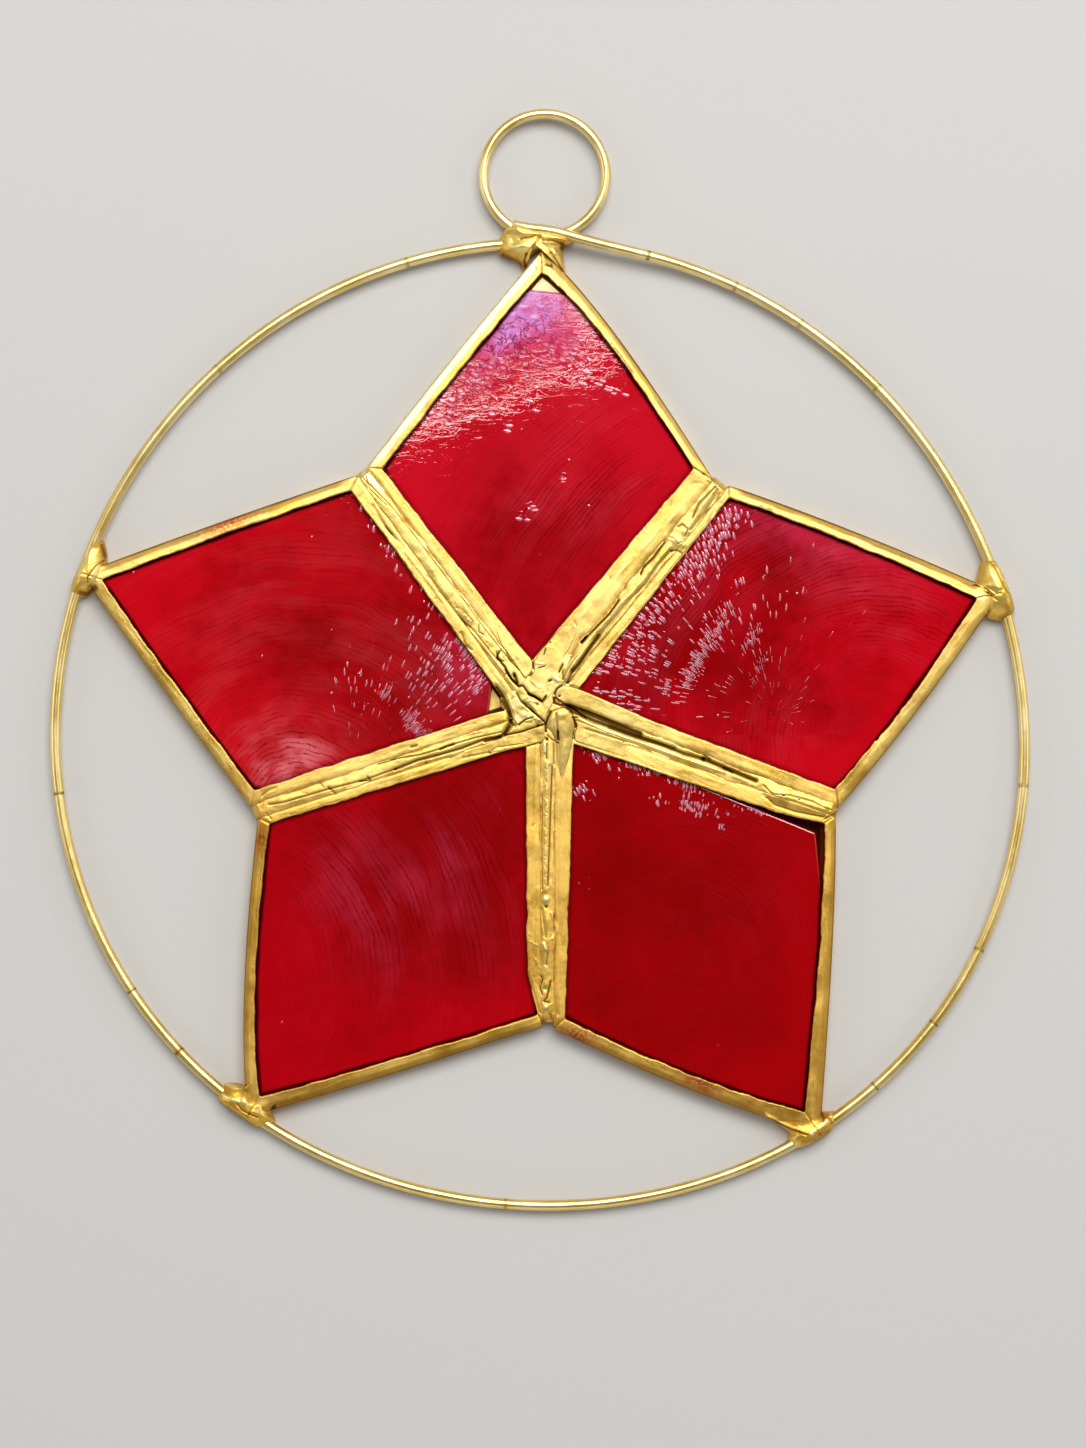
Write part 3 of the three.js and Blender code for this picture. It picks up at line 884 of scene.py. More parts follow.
@dataclass
class Seam:
    """The run of solder between two neighbouring frames.

    Attributes:
        name: which seam.
        notch: its outer end on the plan.
        hub_gap: middle and width of the run at the hub, in millimetres.
        notch_gap: middle and width of the run at its outer end.
        crown: height of the run above the frames.
        strokes: marks along it, drawn on the plan.
        hub: its inner end on the plan.
        frame_top: height of the frames' fronts, in millimetres.
        limit: height that nothing on it passes.
        reach_over: how far the run reaches over each frame's edge.
        first: how far from the hub it starts.
        overrun: how far it runs past its outer end.
        sides: heights of its sides' upper ends and of its underside.
        wander: how far its middle wanders to either side.
        uneven: share of its width by which it widens and narrows.
        dip: how far its edges drop under the frames' edges.
        taper: how far its outer end drops.
        lumps: heights of its coarse and fine lumps.
        edge_shade: how dark its two edges are painted: painted shade in the slit where the run
        meets the frames.
        grid: rings along it, and points across its front.
    """

    name: str
    notch: Place
    hub_gap: tuple[float, float]
    notch_gap: tuple[float, float]
    crown: float
    strokes: tuple[Stroke, ...]
    hub: Place = (541.0, 708.0)
    frame_top: float = 2.4
    limit: float = 3.2
    reach_over: float = 0.30
    first: float = 1.2
    overrun: float = 0.25
    sides: tuple[float, float] = (1.2, 0.1)
    wander: float = 0.12
    uneven: float = 0.14
    dip: float = 0.28
    taper: float = 0.75
    lumps: tuple[float, float] = (0.045, 0.008)
    edge_shade: float = 0.25
    grid: tuple[int, int] = (420, 34)

    @property
    def line(self) -> tuple[Array, Array, Array, float]:
        """Works out the seam's own axes.

        Returns:
            Its start, the direction along it, the direction clockwise of it, and its
            length.
        """
        start, end = plan(self.hub), plan(self.notch)
        run = end - start
        length = float(np.hypot(*run))
        ahead = run / length
        return start, ahead, np.array([ahead[1], -ahead[0]]), length

    def place(self, spots: Array) -> Array:
        """Turns distances along and across the seam into places."""
        start, ahead, aside, _ = self.line
        return start + spots[..., :1] * ahead + spots[..., 1:] * aside

    def edge(self, side: float) -> tuple[Array, Array]:
        """Works out the line where a frame meets the run.

        Args:
            side: -1 for the frame before it, 1 for the frame past it.

        Returns:
            The line's two ends.
        """
        _, _, _, length = self.line
        near = self.hub_gap[0] + side * self.hub_gap[1] / 2
        far = self.notch_gap[0] + side * self.notch_gap[1] / 2
        spots = self.place(np.array([[0.0, near], [length, far]]))
        return spots[0], spots[1]

    def skin(self, chasing: Chasing) -> Skin:
        """Builds the run of solder.

        Each ring is a flat bottom and a low crown: frame top plus crown times one
        minus the square of the share across, dipping under the frames' edges. Noise
        adds lumps, and the strokes are laid over.

        Args:
            chasing: the maker's marks.

        Returns:
            The closed surface.
        """
        _, _, _, length = self.line
        rows, cols = self.grid
        last = length + self.overrun
        t = np.linspace(self.first, last, rows)[:, None]
        q = np.linspace(-1, 1, cols)[None, :]
        share = t / length
        mid = self.hub_gap[0] + (self.notch_gap[0] - self.hub_gap[0]) * share
        half = (self.hub_gap[1] + (self.notch_gap[1] - self.hub_gap[1]) * share) / 2 + self.reach_over
        seed = sum(map(ord, self.name))
        wander = grain(t * 0.35, np.zeros_like(t), seed, 3) * self.wander
        half = half * (1 + self.uneven * grain(t * 0.8, np.ones_like(t), seed + 1, 2))
        across = mid + wander + q * half
        spots = np.stack(np.broadcast_arrays(t + 0 * q, across), -1)
        places = self.place(spots)
        crown = self.crown * (1 - q**2) - self.dip * step(0.78, 1.0, np.abs(q))
        ends = self.taper * step(length - 0.5, last, t)
        coarse, fine = self.lumps
        lumps = coarse * grain(t * 0.5, across, seed + 2, 2)
        lumps = lumps + fine * grain(t * 2.2, across * 2.6, seed + 3, 2)
        rise, grime = chasing.lay(places)
        top = np.minimum(self.frame_top + crown + lumps + rise - ends, self.limit)
        left, right = places[:, :1], places[:, -1:]
        upper, lower = self.sides
        corners = ((right, upper), (right, lower), (left, lower), (left, upper))
        bottom = [raised_to(side, np.full((rows, 1), height)) for side, height in corners]
        rings = np.concatenate([raised_to(places, top), *bottom], axis=1)
        # Both edges are painted darker: painted shade in the slit where the run meets the frames.
        groove = self.edge_shade * step(0.82, 1.0, np.abs(q)) + 0 * t
        dark = np.concatenate([grime + groove, np.zeros((rows, 4))], axis=1)
        return Skin(rings, False, {"grime": dark, "dye": 0 * dark}, (length / 2.0, 2.0))


# The frames and panes


@dataclass(frozen=True)
class Lap:
    """A place where the strip is doubled.

    Attributes:
        side: which side of the frame, from 0.
        start: share of the side where it starts.
        end: share of the side where it ends.
        rise: its thickness, in millimetres.
        inward: how far it reaches in over the pane.
        soft: share of the side, out of it and into it, over which each end rises.
    """

    side: int
    start: float
    end: float
    rise: float = 0.12
    inward: float = 0.15
    soft: tuple[float, float] = (0.012, 0.002)

    def over(self, place: Array) -> Array:
        """Works out where the strip is doubled, with a smooth step at each end.

        Args:
            place: shares of the side.

        Returns:
            1 on the lap and 0 off it.
        """
        out, into = self.soft
        past_start = step(self.start - out, self.start + into, place)
        return past_start * (1 - step(self.end - into, self.end + out, place))


@dataclass(frozen=True)
class Backing:
    """A leaf of the strip that shows past a cut corner.

    Attributes:
        corners: its corners on the plan.
        level: its height, in millimetres.
        grime: how dark it is, negative where it is painted pale; along the window's
        edge it is painted dark as shade in the gap.
        dye: how red it is.
        tilt: how much it rises in each millimetre towards +Y.
    """

    corners: tuple[Place, ...]
    level: float = 0.6
    grime: float = 0.0
    dye: float = 0.0
    tilt: float = 0.0


@dataclass(frozen=True)
class Patch:
    """A soft round patch of a value.

    Attributes:
        at: its middle on the plan.
        size: its sizes along x and y, in millimetres.
        turn: how far it is turned, in degrees.
        strength: the value at its middle.
    """

    at: Place
    size: tuple[float, float]
    turn: float = 0.0
    strength: float = 1.0

    def lay(self, points: Array) -> Array:
        """Works out the value: a bell curve of the turned and scaled distance from the middle.

        Args:
            points: places in millimetres.

        Returns:
            The value at each.
        """
        away = points - plan(self.at)
        c, s = math.cos(math.radians(self.turn)), math.sin(math.radians(self.turn))
        u = (away[..., 0] * c + away[..., 1] * s) / self.size[0]
        v = (-away[..., 0] * s + away[..., 1] * c) / self.size[1]
        return self.strength * np.exp(-(u**2 + v**2))


def layered(patches_on: Sequence[Patch], places: Array) -> Array:
    """Adds up patches at places."""
    return sum((patch.lay(places) for patch in patches_on), np.zeros(places.shape[:2]))


@dataclass
class Point:
    """One point of the star: its folded frame and its pane.

    Attributes:
        name: which point.
        before: the seam on its anticlockwise side.
        after: the seam on its clockwise side.
        outer: the frame's outer corners on the plan: notch, tip, notch.
        window: the window's corners on the plan: hub, notch, tip, notch.
        bows: place and pull of the handle of the two outer sides.
        laps: doubled places of the strip.
        stains: dye smears on the frame.
        shell: the pane's finish.
        glow: brighter patches of the pane.
        glints: patches of strong ripples, whose raised dashes are also painted pale: partly pale
        nacre, partly painted glints.
        sheens: patches of painted sheen: a pale painted reflection of the light.
        dusts: patches where growth lines show.
        crinkles: patches of wrinkled lacquer, whose folds are painted dark as shade in the creases.
        cuts: corners cut off the pane: a place on each cut and one further in, on the plan.
        elbow: where the window's first side is bent, on the plan.
        backing: the leaf of the strip that shows past a cut.
        tan: how much darker the outward half of the strip is painted on its two outer
        sides, as painted shade; where negative it is painted paler, as a painted highlight.
        per_side: samples on each side.
        pane_z: heights of the pane's back and front, in millimetres.
        pane_share: how far the pane's rim stands in the groove, from the frame's outer
            outline to the window's.
        wavers: how far the lip wavers, coarsely and finely.
        wrinkles: heights of the strip's coarse and fine wrinkles.
        worn: how far the outward half of the strip drops where its painted side shade is full.
        swell: height of the pane's low swells.
        rings: rings on the pane's front, and under it.
        rim_shade_reach: how wide the dark rim of the pane is, a painted shade in the crevice
        under the lip and partly dirt, and how far that varies.
        limit: height that nothing on the frame passes.
    """

    name: str
    before: Seam
    after: Seam
    outer: tuple[Place, Place, Place]
    window: tuple[Place, Place, Place, Place]
    bows: tuple[Place, Place]
    shell: Lacquer
    laps: tuple[Lap, ...] = ()
    stains: tuple[Patch, ...] = ()
    glow: tuple[Patch, ...] = ()
    glints: tuple[Patch, ...] = ()
    sheens: tuple[Patch, ...] = ()
    dusts: tuple[Patch, ...] = ()
    crinkles: tuple[Patch, ...] = ()
    cuts: tuple[tuple[Place, Place], ...] = ()
    backing: Backing | None = None
    elbow: Place | None = None
    tan: tuple[float, float] = (0.3, 0.3)
    per_side: int = 250
    pane_z: tuple[float, float] = (0.7, 1.7)
    pane_share: float = 0.62
    wavers: tuple[float, float] = (0.07, 0.035)
    wrinkles: tuple[float, float] = (0.04, 0.014)
    worn: float = 0.35
    swell: float = 0.014
    rings: tuple[int, int] = (90, 10)
    rim_shade_reach: tuple[float, float] = (0.36, 0.10)
    limit: float = 3.1

    # The strip's section, outer side first: share of the way in, offset and height
    PROFILE = np.array(
        [
            (0.0, 0.0, 1.9), (0.0, 0.02, 2.1), (0.0, 0.1, 2.26), (0.0, 0.22, 2.35), (0.0, 0.36, 2.39),
            (0.22, 0.28, 2.4), (0.34, 0.22, 2.4), (0.46, 0.12, 2.4), (0.56, 0.06, 2.4), (0.66, 0.0, 2.4),
            (0.76, -0.04, 2.4), (0.86, -0.08, 2.4), (1.0, -0.26, 2.4), (1.0, -0.16, 2.41), (1.0, -0.07, 2.38),
            (1.0, -0.01, 2.28), (1.0, 0.0, 2.16), (1.0, -0.04, 2.04), (1.0, -0.12, 2.0), (0.5, 0.2, 2.0),
            (0.0, 0.42, 2.0), (0.0, 0.42, 1.2), (0.0, 0.42, 0.4), (0.5, 0.2, 0.4), (1.0, -0.1, 0.4),
            (1.0, -0.02, 0.32), (1.0, 0.0, 0.2), (1.0, -0.03, 0.08), (1.0, -0.14, 0.0), (0.7, 0.0, 0.0),
            (0.35, 0.1, 0.0), (0.0, 0.3, 0.0), (0.0, 0.1, 0.06), (0.0, 0.0, 0.28), (0.0, 0.0, 0.8),
            (0.0, 0.0, 1.4),
        ]
    )
    EDGE_POINTS = 3
    TOP_POINTS = 18
    GROOVE_POINTS = 25

    @property
    def hub_corner(self) -> Array:
        """Works out where the frame's two seam sides meet.

        Returns:
            The place, in millimetres.
        """
        a, b = self.before.edge(1.0)
        c, d = self.after.edge(-1.0)
        u, v = b - a, d - c
        t = ((c - a)[0] * v[1] - (c - a)[1] * v[0]) / (u[0] * v[1] - u[1] * v[0])
        return a + u * t

    def loop(self, corners: Array, elbow: Place | None = None) -> Array:
        """Samples a closed outline through four corners, its two outer sides bowed.

        Args:
            corners: hub, notch, tip, notch in millimetres, clockwise.
            elbow: where the first side is bent, on the plan, if it is.

        Returns:
            The samples, per_side to a side.
        """
        hub, left, tip, right = corners
        (at1, by1), (at2, by2) = self.bows
        n = self.per_side
        sides = [
            bowed_side(hub, left, 0.5, 0.0, n) if elbow is None else bent_side(hub, plan(elbow), left, n),
            bowed_side(left, tip, at1, by1, n),
            bowed_side(tip, right, at2, by2, n),
            bowed_side(right, hub, 0.5, 0.0, n),
        ]
        return np.concatenate(sides)

    def outlines(self) -> tuple[Array, Array]:
        """Samples the frame's outer outline and the window's, rounded at the corners.

        Returns:
            Both outlines, sample by sample.
        """
        outer = self.loop(np.concatenate([[self.hub_corner], plan(self.outer)]))
        window = self.loop(plan(self.window), self.elbow)
        return smooth_loop(outer, 2.2), smooth_loop(window, 1.4)

    def frame_skin(self, chasing: Chasing) -> Skin:
        """Builds the folded strip.

        Every ring is the strip's U section. A section point stands at the share f of
        the way from the outer outline to the window's, plus an offset in millimetres.
        The lip wavers by noise, the laps lift it, and wrinkles and strokes are laid
        on the front.

        Args:
            chasing: the maker's marks.

        Returns:
            The closed surface.
        """
        outer, window = self.outlines()
        count = len(outer)
        seed = 7 * sum(map(ord, self.name))
        s = np.arange(count) / count
        span = window - outer
        width = np.hypot(span[:, 0], span[:, 1])
        inward = span / width[:, None]
        waver = self.wavers[0] * grain(s * 64, 0 * s, seed, 2, 64)
        waver += self.wavers[1] * grain(s * 200, 0 * s + 5, seed + 1, 2, 200)
        lift, reach = np.zeros(count), np.zeros(count)
        for lap in self.laps:
            doubled = lap.over(s * 4 - lap.side)
            lift += lap.rise * doubled
            reach += lap.inward * doubled
        width = width + waver + reach
        f, offset, z = self.PROFILE.T
        away = f[None, :] * width[:, None] + offset[None, :]
        xy = outer[:, None, :] + away[..., None] * inward[:, None, :]
        share = away / width[:, None]
        number = np.arange(len(z))
        front = np.zeros(len(z))
        front[2:self.TOP_POINTS - 2] = 1.0
        front[[1, self.TOP_POINTS - 2]] = 0.5
        coarse, fine = self.wrinkles
        wrinkle = coarse * grain(xy[..., 0] * 0.3, xy[..., 1] * 0.3, seed + 2, 2)
        wrinkle += fine * grain(s[:, None] * 60 + 0 * away, away * 2.6, seed + 3, 3, 60)
        rise, grime = chasing.lay(xy)
        ends = [0, 0.98, 1.06, 1.96, 2.04, 2.94, 3.02, 4]
        first, second = self.tan
        sides = np.interp(s * 4, ends, [0, 0, first, first, second, second, 0, 0])[:, None]
        slope = self.worn * np.maximum(sides, 0) * (1 - np.clip(share, 0, 1))
        height = np.clip(z + front * (wrinkle + rise + lift[:, None] - slope), 0.0, self.limit)
        groove = (number >= self.TOP_POINTS - 2) & (number < self.GROOVE_POINTS)
        # The outer edge is painted a little darker and the inside of the groove much darker: painted shade.
        # On the two outer sides the outward half is painted darker, or paler where the side shade setting is
        # negative: painted shade and painted highlight.
        dark = grime * front + 0.12 * (number < self.EDGE_POINTS) + 0.5 * groove
        ragged = 0.05 * grain(s[:, None] * 50 + 0 * away, away * 0, seed + 6, 2, 50)
        outward = 1 - step(0.42, 0.66, share + ragged)
        dark = dark + sides * outward * (number < self.TOP_POINTS - 4)
        dye = np.clip(layered(self.stains, xy), 0, 1)
        return Skin(raised_to(xy, height), True, {"grime": dark, "dye": dye}, (60.0, 5.0))

    def pane_skin(self) -> Skin:
        """Builds the shell pane.

        Rings of the pane's outline, shrunk towards its middle, run from the middle of
        the front out to the rim and back under it. The front swells by low noise.

        Returns:
            The closed surface.
        """
        outer, window = self.outlines()
        rim = (outer + (window - outer) * self.pane_share)[::2]
        for place, further in self.cuts:
            at, inwards = plan(place), plan(further) - plan(place)
            inwards = inwards / np.hypot(*inwards)
            beyond = np.minimum((rim - at) @ inwards, 0.0)
            rim = rim - beyond[:, None] * inwards
        rings, under = self.rings
        turned = [0.985, 0.995, 1.0, 1.0, 0.995, 0.98]
        shares = np.concatenate([np.linspace(0.01, 0.97, rings), turned, np.linspace(0.95, 0.02, under)])
        xy = shrunk(rim, rim.mean(0), shares)
        low, high = self.pane_z
        edge = [high - 0.01, high - 0.05, high - 0.15, low + 0.15, low + 0.04, low]
        level = np.concatenate([np.full(rings, high), edge, np.full(under, low)])
        height = np.repeat(level[:, None], len(rim), 1)
        front = (np.arange(len(shares)) < rings + 2)[:, None]
        seed = 13 * sum(map(ord, self.name))
        height = height + front * self.swell * grain(xy[..., 0] * 0.10, xy[..., 1] * 0.10, seed, 2)
        # The rim mark: painted shade in the crevice under the frame's lip, partly dirt, stronger on the outer
        # sides.
        away, _ = distance_to_path(xy, np.concatenate([window, window[:1]])[::5])
        wide, varies = self.rim_shade_reach
        reach = wide + varies * grain(xy[..., 0] * 0.25, xy[..., 1] * 0.25, seed + 4, 2)
        quarter = len(window) // 4
        outer_away, _ = distance_to_path(xy, window[quarter : 3 * quarter : 5])
        near = np.exp(-((away / reach) ** 6)) * (0.45 + 0.62 * np.exp(-((outer_away / 0.7) ** 4)))
        tip = plan(self.outer[1])
        tip_side = np.clip((xy @ (tip / np.hypot(*tip)) - 12.0) / 34.0, 0, 1)
        glow = 0.15 + 0.5 * tip_side + 0.35 * np.exp(-away / 2.5) + layered(self.glow, xy)
        marks = {
            "glow": np.clip(glow, 0, 1.2),
            "rim": np.clip(near, 0, 1),
            "glint": np.clip(layered(self.glints, xy), 0, 1.5),
            "sheen": np.clip(layered(self.sheens, xy), 0, 1),
            "dust": np.clip(0.05 + layered(self.dusts, xy), 0, 2.4),
            "crinkle": np.clip(layered(self.crinkles, xy), 0, 1.2),
        }
        return Skin(raised_to(xy, height), False, marks)

    def backing_skins(self) -> list[Skin]:
        """Builds the strip's back leaf behind a cut corner: a thin plate under the pane.

        Rings of its outline shrink to its middle, over the front and back under it.

        Returns:
            One closed surface, or none where no corner is cut.
        """
        if self.backing is None:
            return []
        leaf = self.backing
        corners = plan(leaf.corners)
        middle = corners.mean(0)
        shares = np.concatenate([np.linspace(0.03, 0.98, 60), [1.0, 1.0, 0.95, 0.5, 0.05]])
        level = leaf.level - np.concatenate([np.zeros(60), [0.03, 0.10, 0.14, 0.14, 0.14]])
        xy = shrunk(even_loop(corners, 240, 1.0), middle, shares)
        rough = 0.02 * grain(xy[..., 0] * 0.8, xy[..., 1] * 0.8, 77, 2)
        height = level[:, None] + rough + leaf.tilt * (xy[..., 1] - middle[1])
        window = self.outlines()[1]
        away, _ = distance_to_path(xy, np.concatenate([window, window[:1]])[::5])
        # The leaf's edge along the window is painted dark: painted shade in the gap between frame and pane.
        dark = leaf.grime + (1.3 - leaf.grime) * np.exp(-((away / 0.36) ** 6))
        return [Skin(raised_to(xy, height), False, {"grime": dark, "dye": leaf.dye + 0 * dark}, (2.0, 6.0))]


# Blobs of solder


@dataclass
class Blob:
    """A blob of solder with a drawn outline.

    Attributes:
        name: its node.
        middle: where its rings shrink to, on the plan.
        outline: its edge on the plan, in order.
        top: height of its crest, in millimetres.
        low: height where its front meets its side.
        bottom: height of its flat underside.
        swell: how full it is: 2 is round, more is flatter.
        lumps: height of its lumps.
        grid: rings from its middle to its edge, and points in each.
        limit: height that nothing on it passes.
    """

    name: str
    middle: Place
    outline: tuple[Place, ...]
    top: float = 2.9
    low: float = 0.9
    bottom: float = 0.15
    swell: float = 2.2
    lumps: float = 0.06
    grid: tuple[int, int] = (46, 220)
    limit: float = 3.12

    def skin(self, chasing: Chasing) -> Skin:
        """Builds the blob.

        The edge is the drawn outline, sampled evenly and rounded. Inside it, the front
        stands at low plus the rise times the root of one minus the share outwards to
        the power swell. Noise adds lumps, and the strokes are laid over.

        Args:
            chasing: the maker's marks.

        Returns:
            The closed surface.
        """
        middle = plan(self.middle)
        rows, cols = self.grid
        rim = even_loop(plan(self.outline), cols, 1.6)
        share = np.linspace(0.02, 1.0, rows)
        xy = shrunk(rim, middle, share)
        seed = 17 * sum(map(ord, self.name))
        dome = self.low + (self.top - self.low) * (1 - share**self.swell) ** 0.55
        bumps = self.lumps * grain(xy[..., 0] * 0.7, xy[..., 1] * 0.7, seed, 2)
        bumps += self.lumps * 0.3 * grain(xy[..., 0] * 2.3, xy[..., 1] * 2.3, seed + 1, 2)
        rise, grime = chasing.lay(xy)
        inner = (1 - share**6)[:, None]
        height = dome[:, None] + bumps * inner + rise * (1 - share**24)[:, None]
        height = np.clip(height, self.bottom + 0.1, self.limit)
        levels = [(self.low + self.bottom) / 2, self.bottom + 0.12, self.bottom, self.bottom, self.bottom]
        under = shrunk(rim, middle, np.array([1.0, 0.97, 0.9, 0.5, 0.05]))
        lower = raised_to(under, np.repeat(np.array(levels)[:, None], cols, 1))
        rings = np.concatenate([raised_to(xy, height), lower])
        # The blob is painted darker towards its edge and underneath: painted shade on its sloping sides.
        dark = np.concatenate([grime + 0.3 * step(0.7, 1.0, share)[:, None], np.full((5, cols), 0.3)])
        return Skin(rings, False, {"grime": dark, "dye": 0 * dark}, (3.0, 6.0))


@dataclass
class Leaf:
    """A flattened end of strip, or a flake of foil, that lies over its neighbours.

    Attributes:
        name: which leaf.
        outline: its edge on the plan, in order.
        top: height of its highest part, in millimetres.
        edge: how far its rounded edge drops.
        towards: place on the plan towards which it falls.
        fall: how far it falls over its whole length.
        tone: darkening over the whole leaf, negative where it is painted pale.
        span: width of its rounded edge, in drops.
        foot: height of its underside, in millimetres.
        grid: rings from its middle to its edge, and points in each.
        limit: height that nothing on it passes.
    """

    name: str
    outline: tuple[Place, ...]
    top: float
    edge: float
    towards: Place
    fall: float
    tone: float = 0.0
    span: float = 1.15
    foot: float = 2.12
    grid: tuple[int, int] = (36, 190)
    limit: float = 3.2

    def skin(self, chasing: Chasing) -> Skin:
        """Builds the leaf.

        Rings of its outline shrink to its middle, close together at the edge. The
        front is a plane that falls evenly along one direction; within the edge's
        width it drops as a quarter circle of the distance from the outline. Noise
        and the strokes are laid over.

        Args:
            chasing: the maker's marks.

        Returns:
            The closed surface.
        """
        rows, cols = self.grid
        rim = even_loop(plan(self.outline), cols, 1.3)
        middle = rim.mean(0)
        share = 1 - (1 - np.linspace(0.02, 1, rows)) ** 2.2
        xy = shrunk(rim, middle, share)
        away, _ = distance_to_path(xy, np.concatenate([rim, rim[:1]]))
        inner = np.clip(away / (self.edge * self.span), 0, 1)
        drop = self.edge * (1 - np.sqrt(1 - (1 - inner) ** 2))
        ahead = plan(self.towards) - middle
        along = (xy - middle) @ (ahead / np.hypot(*ahead))
        slope = self.fall * (along - along.min()) / (along.max() - along.min())
        seed = 23 * sum(map(ord, self.name))
        rough = 0.03 * grain(xy[..., 0] * 0.8, xy[..., 1] * 0.8, seed, 3)
        rise, grime = chasing.lay(xy)
        height = np.clip(self.top - drop - slope + rough + rise, self.foot + 0.03, self.limit)
        lip = np.maximum(self.top - self.edge - slope[-1], self.foot + 0.04)
        height[-1] = np.minimum(height[-1], lip)
        under = shrunk(rim, middle, np.array([1.0, 0.9, 0.4, 0.03]))
        lower = raised_to(under, np.full((4, cols), self.foot))
        rings = np.concatenate([raised_to(xy, height), lower])
        # The rounded edge is painted darker: painted shade where the leaf drops away.
        dark = np.concatenate([grime + self.tone + 0.25 * (1 - inner) ** 3, np.zeros((4, cols))])
        return Skin(rings, False, {"grime": dark, "dye": 0 * dark}, (3.0, 6.0))


# The wires


@dataclass
class Hoop:
    """The bent wire hoop and its small hanging ring.

    Attributes:
        radius: mean radius of the hoop, in millimetres.
        wire: its thickness.
        lift: height of the wire's middle.
        swells: how the hand-bent hoop departs from a circle: lobes, height, heading.
        ring_radius: radius of the hanging ring.
        ring_wire: its thickness.
        ring_middle: its middle.
        ring_lift: height of its wire's middle.
        ring_from: heading where its wire starts.
        ring_to: heading where its wire ends.
        rail: the hoop's end that runs over the top solder, on the plan.
        rail_lift: heights of the wire's middle over the solder: its end, twice its crest,
            and where it meets the hoop.
        span: headings between which the wire follows the hoop's own line.
        nicks: headings of small nicks in the hoop.
        counts: places along the rail, the hoop and the ring.
        round_count: points round the wire.
    """

    radius: float = 54.27
    wire: float = 1.2
    lift: float = 1.2
    swells: tuple[Spot, ...] = ((1, 0.3, 156.0), (2, 0.35, 118.7), (3, 0.48, 3.6), (4, 0.08, 37.0))
    ring_radius: float = 6.87
    ring_wire: float = 1.1
    ring_middle: Place = (0.57, 61.84)
    ring_lift: float = 1.32
    ring_from: float = 212.0
    ring_to: float = 523.0
    rail: tuple[Place, ...] = pairs(
        511, 223.5, 522, 227.5, 535, 229.5, 547, 230.5, 560, 233, 572, 236.5, 585, 240
    )
    rail_lift: tuple[float, float, float, float] = (2.15, 2.42, 2.42, 1.95)
    span: tuple[float, float] = (9.5, 359.7)
    nicks: tuple[float, ...] = (13, 24, 33, 45, 97, 117, 127, 137, 184, 220, 228, 237, 262, 318, 344)
    counts: tuple[int, int, int] = (60, 1080, 300)
    round_count: int = 36

    def reach(self, heading: Array) -> Array:
        """Works out the hoop's radius: the mean plus a cosine for each swell.

        Args:
            heading: degrees clockwise from the top.

        Returns:
            The radius at each heading.
        """
        turn = np.radians(heading)
        swell = (by * np.cos(lobes * (turn - math.radians(at))) for lobes, by, at in self.swells)
        return self.radius + sum(swell)

    def tube(self, path: Array, thickness: Array, lift: Array, seed: int, marks: Array) -> Skin:
        """Carries a round section along a flat path.

        Each ring is a circle of half the thickness, its plane square to the path. Its
        half thickness wavers by a little noise.

        Args:
            path: places in millimetres.
            thickness: wire thickness at each place.
            lift: height of the wire's middle at each place.
            seed: which noise.
            marks: darkening at each place.

        Returns:
            The closed surface.
        """
        ahead = np.gradient(path, axis=0)
        ahead /= np.hypot(ahead[:, 0], ahead[:, 1])[:, None]
        out = np.stack([ahead[:, 1], -ahead[:, 0]], -1)
        turn = np.linspace(0, 2 * math.pi, self.round_count, endpoint=False)
        uneven = 0.02 * grain(np.arange(len(path))[:, None] * 0.05, turn[None] * 0.9, seed, 2)
        half = thickness[:, None] / 2 * (1 + uneven)
        xy = path[:, None] + out[:, None] * (np.cos(turn)[None] * half)[..., None]
        z = lift[:, None] + np.sin(turn)[None] * half
        dark = np.repeat(marks[:, None], len(turn), 1)
        return Skin(raised_to(xy, z), False, {"grime": dark, "dye": 0 * dark}, (len(path) / 8.0, 1.0))

    def hoop_skin(self) -> Skin:
        """Builds the hoop, from its raised end over the top solder round to the other side.

        The wire's middle follows the drawn rail and runs on into the hoop's own line,
        smoothed where they meet, and comes down to the hoop's height there.

        Returns:
            The closed surface.
        """
        lead_count, count, _ = self.counts
        heading = np.linspace(*self.span, count)
        turn = np.radians(heading)
        circle = np.stack([np.sin(turn), np.cos(turn)], -1) * self.reach(heading)[:, None]
        rail = np.concatenate([plan(self.rail), circle[:1]])
        at = np.linspace(0, len(rail) - 1.5, lead_count)
        lead = np.stack([np.interp(at, np.arange(len(rail)), rail[:, i]) for i in (0, 1)], -1)
        padded = np.pad(np.concatenate([lead, circle]), ((7, 7), (0, 0)), mode="edge")
        path = np.stack([np.convolve(padded[:, i], np.ones(15) / 15, "valid") for i in (0, 1)], -1)
        grime = sum(0.7 * np.exp(-(((heading - at) / 0.22) ** 2)) for at in self.nicks)
        grime = grime + 0.12 * step(0.3, 1.0, grain(heading * 0.12, 0 * heading, 5, 3))
        grime = np.concatenate([np.full(lead_count, 0.26), grime])
        stops = [0, 10, 22, lead_count, 95, len(path)]
        lift = np.interp(np.arange(len(path)), stops, [*self.rail_lift, self.lift, self.lift])
        thick = self.wire * (1 - 0.05 * np.clip(grime, 0, 1))
        thick[:20] *= np.linspace(0.82, 1.0, 20)
        return self.tube(path, thick, lift, 3, grime)

